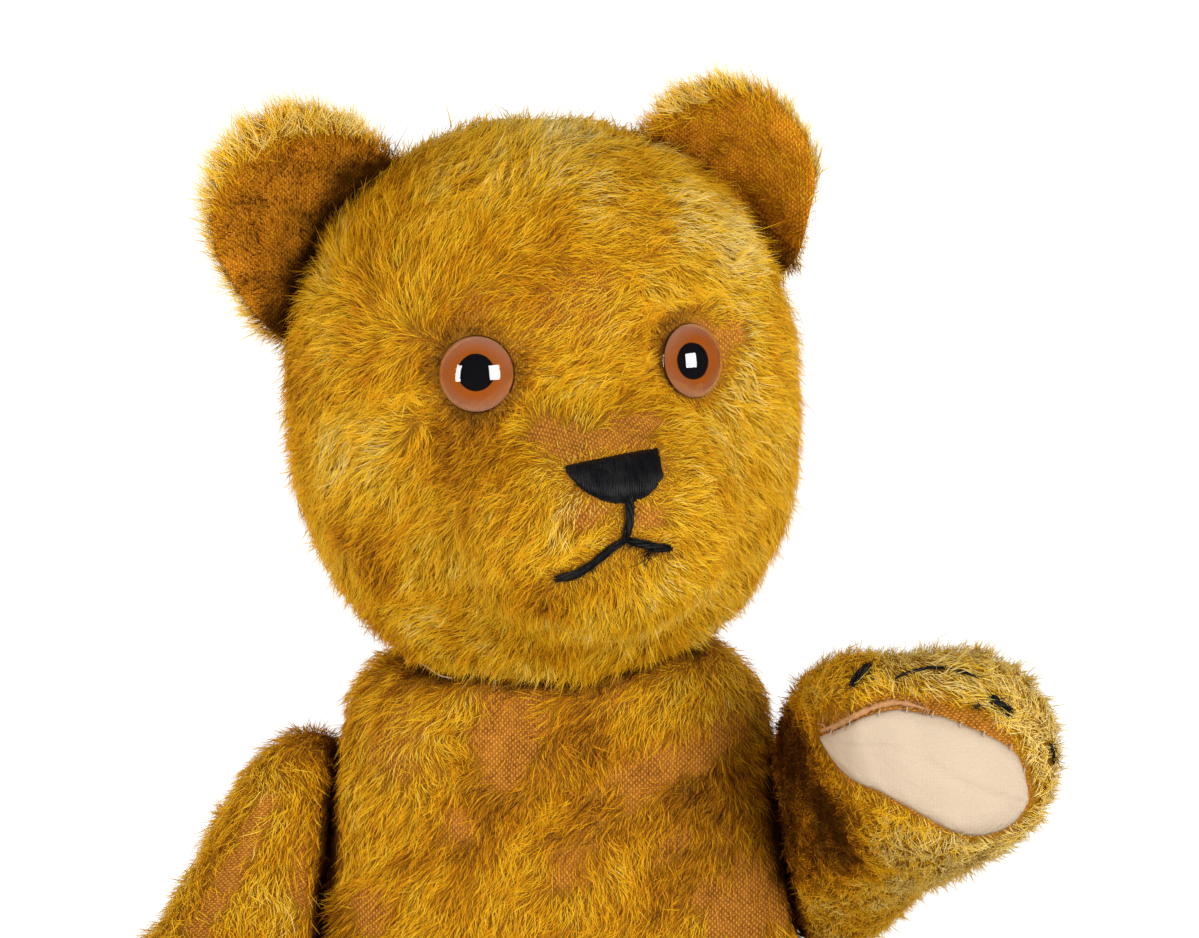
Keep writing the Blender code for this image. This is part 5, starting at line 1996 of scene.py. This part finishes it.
BACKING = cloth_finish("mohair_backing", WEAVE, WEAVE_DARK, UNDER_PILE)
EAR_BACKING = cloth_finish("ear_backing", EAR_WEAVE, EAR_WEAVE_DARK, EAR_UNDER)
for body, mesh in SKINS.items():
    lay_out(mesh, FRAMES[body])
    mesh.materials.clear()
    mesh.materials.append(BACKING)
    skin = new_object(body + "_skin", mesh)
    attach(skin, body)
    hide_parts(body + "_cover")
for word, mesh in EARS.items():
    lay_out(mesh, FRAMES["head"])
    mesh.materials.clear()
    mesh.materials.append(EAR_BACKING)
    cloth = new_object(f"ear_{word}_cloth", mesh)
    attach(cloth, "head")
    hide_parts("ear_" + word)
print("cloth on", len(SKINS) + len(EARS), "pieces")
for source in list(blade_set.objects):
    bpy.data.objects.remove(source)

# %% [markdown]
# ## Inside the bear
#
# The joints and the filling are seen only through worn places, but they get their real finishes:
# pale curled wood wool, brown hardboard discs, and zinc-coated steel washers and cotter pins that
# have dulled with age. These nodes keep their imported shape.

# %% Finishes of filling, board and steel


def grained_finish(name, dark, light, scale, roughness, relief, stretch=(1, 1, 1), metal=0.0):
    """A two-colour grain with a little relief."""
    made, wire, shader = finish_tree(name)
    drawn = wire.vector("MULTIPLY", wire("ShaderNodeTexCoord", out="Object"), stretch)
    grain = noise(wire, drawn, scale, 4.0, Distortion=0.8)
    dress(wire, shader, ramp(wire, grain, ((0.35, dark), (0.65, light))), roughness)
    emboss(wire, shader, grain, strength=0.6, depth=relief)
    shader.inputs["Metallic"].default_value = metal
    return made


WOOD_WOOL = grained_finish(
    "wood_wool", (0.36, 0.22, 0.09), (0.72, 0.55, 0.30), 160, 0.9, 0.8 * MM, stretch=(1, 0.3, 0.5)
)
HARDBOARD = grained_finish(
    "hardboard", (0.13, 0.07, 0.035), (0.25, 0.15, 0.08), 420, 0.75, 0.2 * MM
)
DULL_STEEL = grained_finish(
    "dull_steel", (0.24, 0.22, 0.20), (0.46, 0.45, 0.43), 700, 0.42, 0.03 * MM, metal=1.0
)
FINISH_OF = {
    "stuffing": WOOD_WOOL,
    "disc": HARDBOARD,
    "washer": DULL_STEEL,
    "pin": DULL_STEEL,
    "wire": DULL_STEEL,
}
for name, node in nodes.items():
    for word, finish in FINISH_OF.items():
        if word in name:
            for slot in node.material_slots:
                slot.material = finish
print("finishes on filling, discs, washers, pins and eye wires")

# %% [markdown]
# ## A broken thread
#
# The seam that closed the neck has let go of one end of its white thread, which lies on the pile
# with a kink in it. It could be simulated as a cord, but at 25 mm it is too short to count as one.
# So it is a line through a few given points, made round by the tree that makes the stitches.

# %% Loose thread at the neck
# Across, towards the back and up, mm.
NECK_THREAD = (
    (-44, -20, 204.5), (-42, -21.5, 203), (-40.2, -22.5, 202.4), (-38.8, -23.5, 200.2),
    (-39.9, -23.5, 198.8), (-37.6, -25, 199.6), (-34.5, -27.5, 198.4), (-31, -30, 196.6),
    (-27.8, -32, 196.2),
)
loose_line = np.array(smooth_line(NECK_THREAD, 40), float)
loose_length = np.linalg.norm(np.diff(loose_line, axis=0), axis=1).sum()
print("loose thread", round(loose_length, 1), "mm long")
white = threads("neck_thread", [(loose_line * MM, 1.0)], 0.17 * MM, COTTON_FINISH)
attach(white, "torso")

# %% [markdown]
# ## Light, floor and camera
#
# A plain studio: a pale floor, a white surround, a large soft light from the front right, a weaker
# one from the left, and two weak fills that have no mirror images. The camera stands a little above
# the bear's eyes with a long lens.

# %% Studio
CAMERA_RISE = 9  # degrees above level
CAMERA_DISTANCE = 1.35
CAMERA_TARGET = Vector((11.5, 0, 247.3)) * MM
LENS = 150.1
SENSOR = 36.0
FLOOR_RADIUS = 0.43
FLOOR_GREY, FLOOR_WHITE = (0.86, 0.86, 0.85), (0.9, 0.9, 0.89)
# Azimuth and rise in degrees, width and height in metres, and power in watts.
WINDOWS = {  # their mirror images are the window shapes in the glass eyes
    "right_window": (33, 12, 0.62, 0.8, 19),
    "left_window": (-58, 7, 0.30, 0.8, 8.5),
}
FILLS = {  # these have no mirror images
    "low_fill": (0, -4, 1.4, 0.2, 3.5),
    "left_fill": (-80, 20, 1.0, 0.8, 4),
}
LAMP_DISTANCE = 1.3
MIRRORED_DIM = 0.93  # how much of the white room is missing from reflections


def surround():
    """A white room, dimmer in front, so that the glass and the thread stay dark."""
    world = bpy.data.worlds.new("studio")
    bpy.context.scene.world = world
    world.use_nodes = True
    world.node_tree.nodes.clear()
    wire = Wiring(world.node_tree)
    way = wire("ShaderNodeTexCoord", out="Generated")
    parts = wire("ShaderNodeSeparateXYZ", out=None, Vector=way)
    behind = fade(wire, parts.outputs["Y"], -0.3, 0.5, To_Min=0.62, To_Max=1.15)
    above = fade(wire, parts.outputs["Z"], 0.15, 0.6, To_Min=1.0, To_Max=0.75)
    dim = wire.maths("MULTIPLY", behind, above)
    path = wire("ShaderNodeLightPath", out=None)
    mirrored = wire.maths("MULTIPLY_ADD", path.outputs["Is Glossy Ray"], -MIRRORED_DIM, 1.0)
    light = wire.maths("MULTIPLY", dim, mirrored)
    light = wire.maths("MAXIMUM", light, path.outputs["Is Camera Ray"])
    glow = wire("ShaderNodeBackground", Color=(1, 1, 1, 1), Strength=light)
    wire("ShaderNodeOutputWorld", Surface=glow)


def facing_bear(name, data, azimuth, rise, distance):
    """A light or a camera, this far from the bear's face and turned towards it."""
    made = new_object(name, data)
    a, e = math.radians(azimuth), math.radians(rise)
    back = Vector((math.sin(a) * math.cos(e), -math.cos(a) * math.cos(e), math.sin(e)))
    made.location = CAMERA_TARGET + back * distance
    made.rotation_mode = "QUATERNION"
    made.rotation_quaternion = back.to_track_quat("Z", "Y")
    return made


def softbox(name, azimuth, rise, width, height, power):
    lamp = bpy.data.lights.new(name, "AREA")
    lamp.shape = "RECTANGLE"
    lamp.size, lamp.size_y, lamp.energy = width, height, power
    return facing_bear(name, lamp, azimuth, rise, LAMP_DISTANCE)


def pale_floor():
    made, wire, shader = finish_tree("pale_floor")
    grain = noise(wire, wire("ShaderNodeTexCoord", out="Object"), 60.0)
    dress(wire, shader, ramp(wire, grain, ((0.0, FLOOR_GREY), (1.0, FLOOR_WHITE))), roughness=0.8)
    disc = bmesh.new()
    bmesh.ops.create_circle(disc, cap_ends=True, segments=96, radius=FLOOR_RADIUS)
    mesh = mesh_from(disc, "floor")
    mesh.materials.append(made)
    return new_object("floor", mesh)


surround()
for name, settings in WINDOWS.items():
    softbox(name, *settings)
for name, settings in FILLS.items():
    softbox(name, *settings).visible_glossy = False
floor = pale_floor()
floor.visible_glossy = False

lens = bpy.data.cameras.new("camera")
lens.lens, lens.sensor_width = LENS, SENSOR
camera = facing_bear("camera", lens, 0, CAMERA_RISE, CAMERA_DISTANCE)
bpy.context.scene.camera = camera
bpy.context.scene.view_settings.view_transform = "Standard"
print("studio ready")
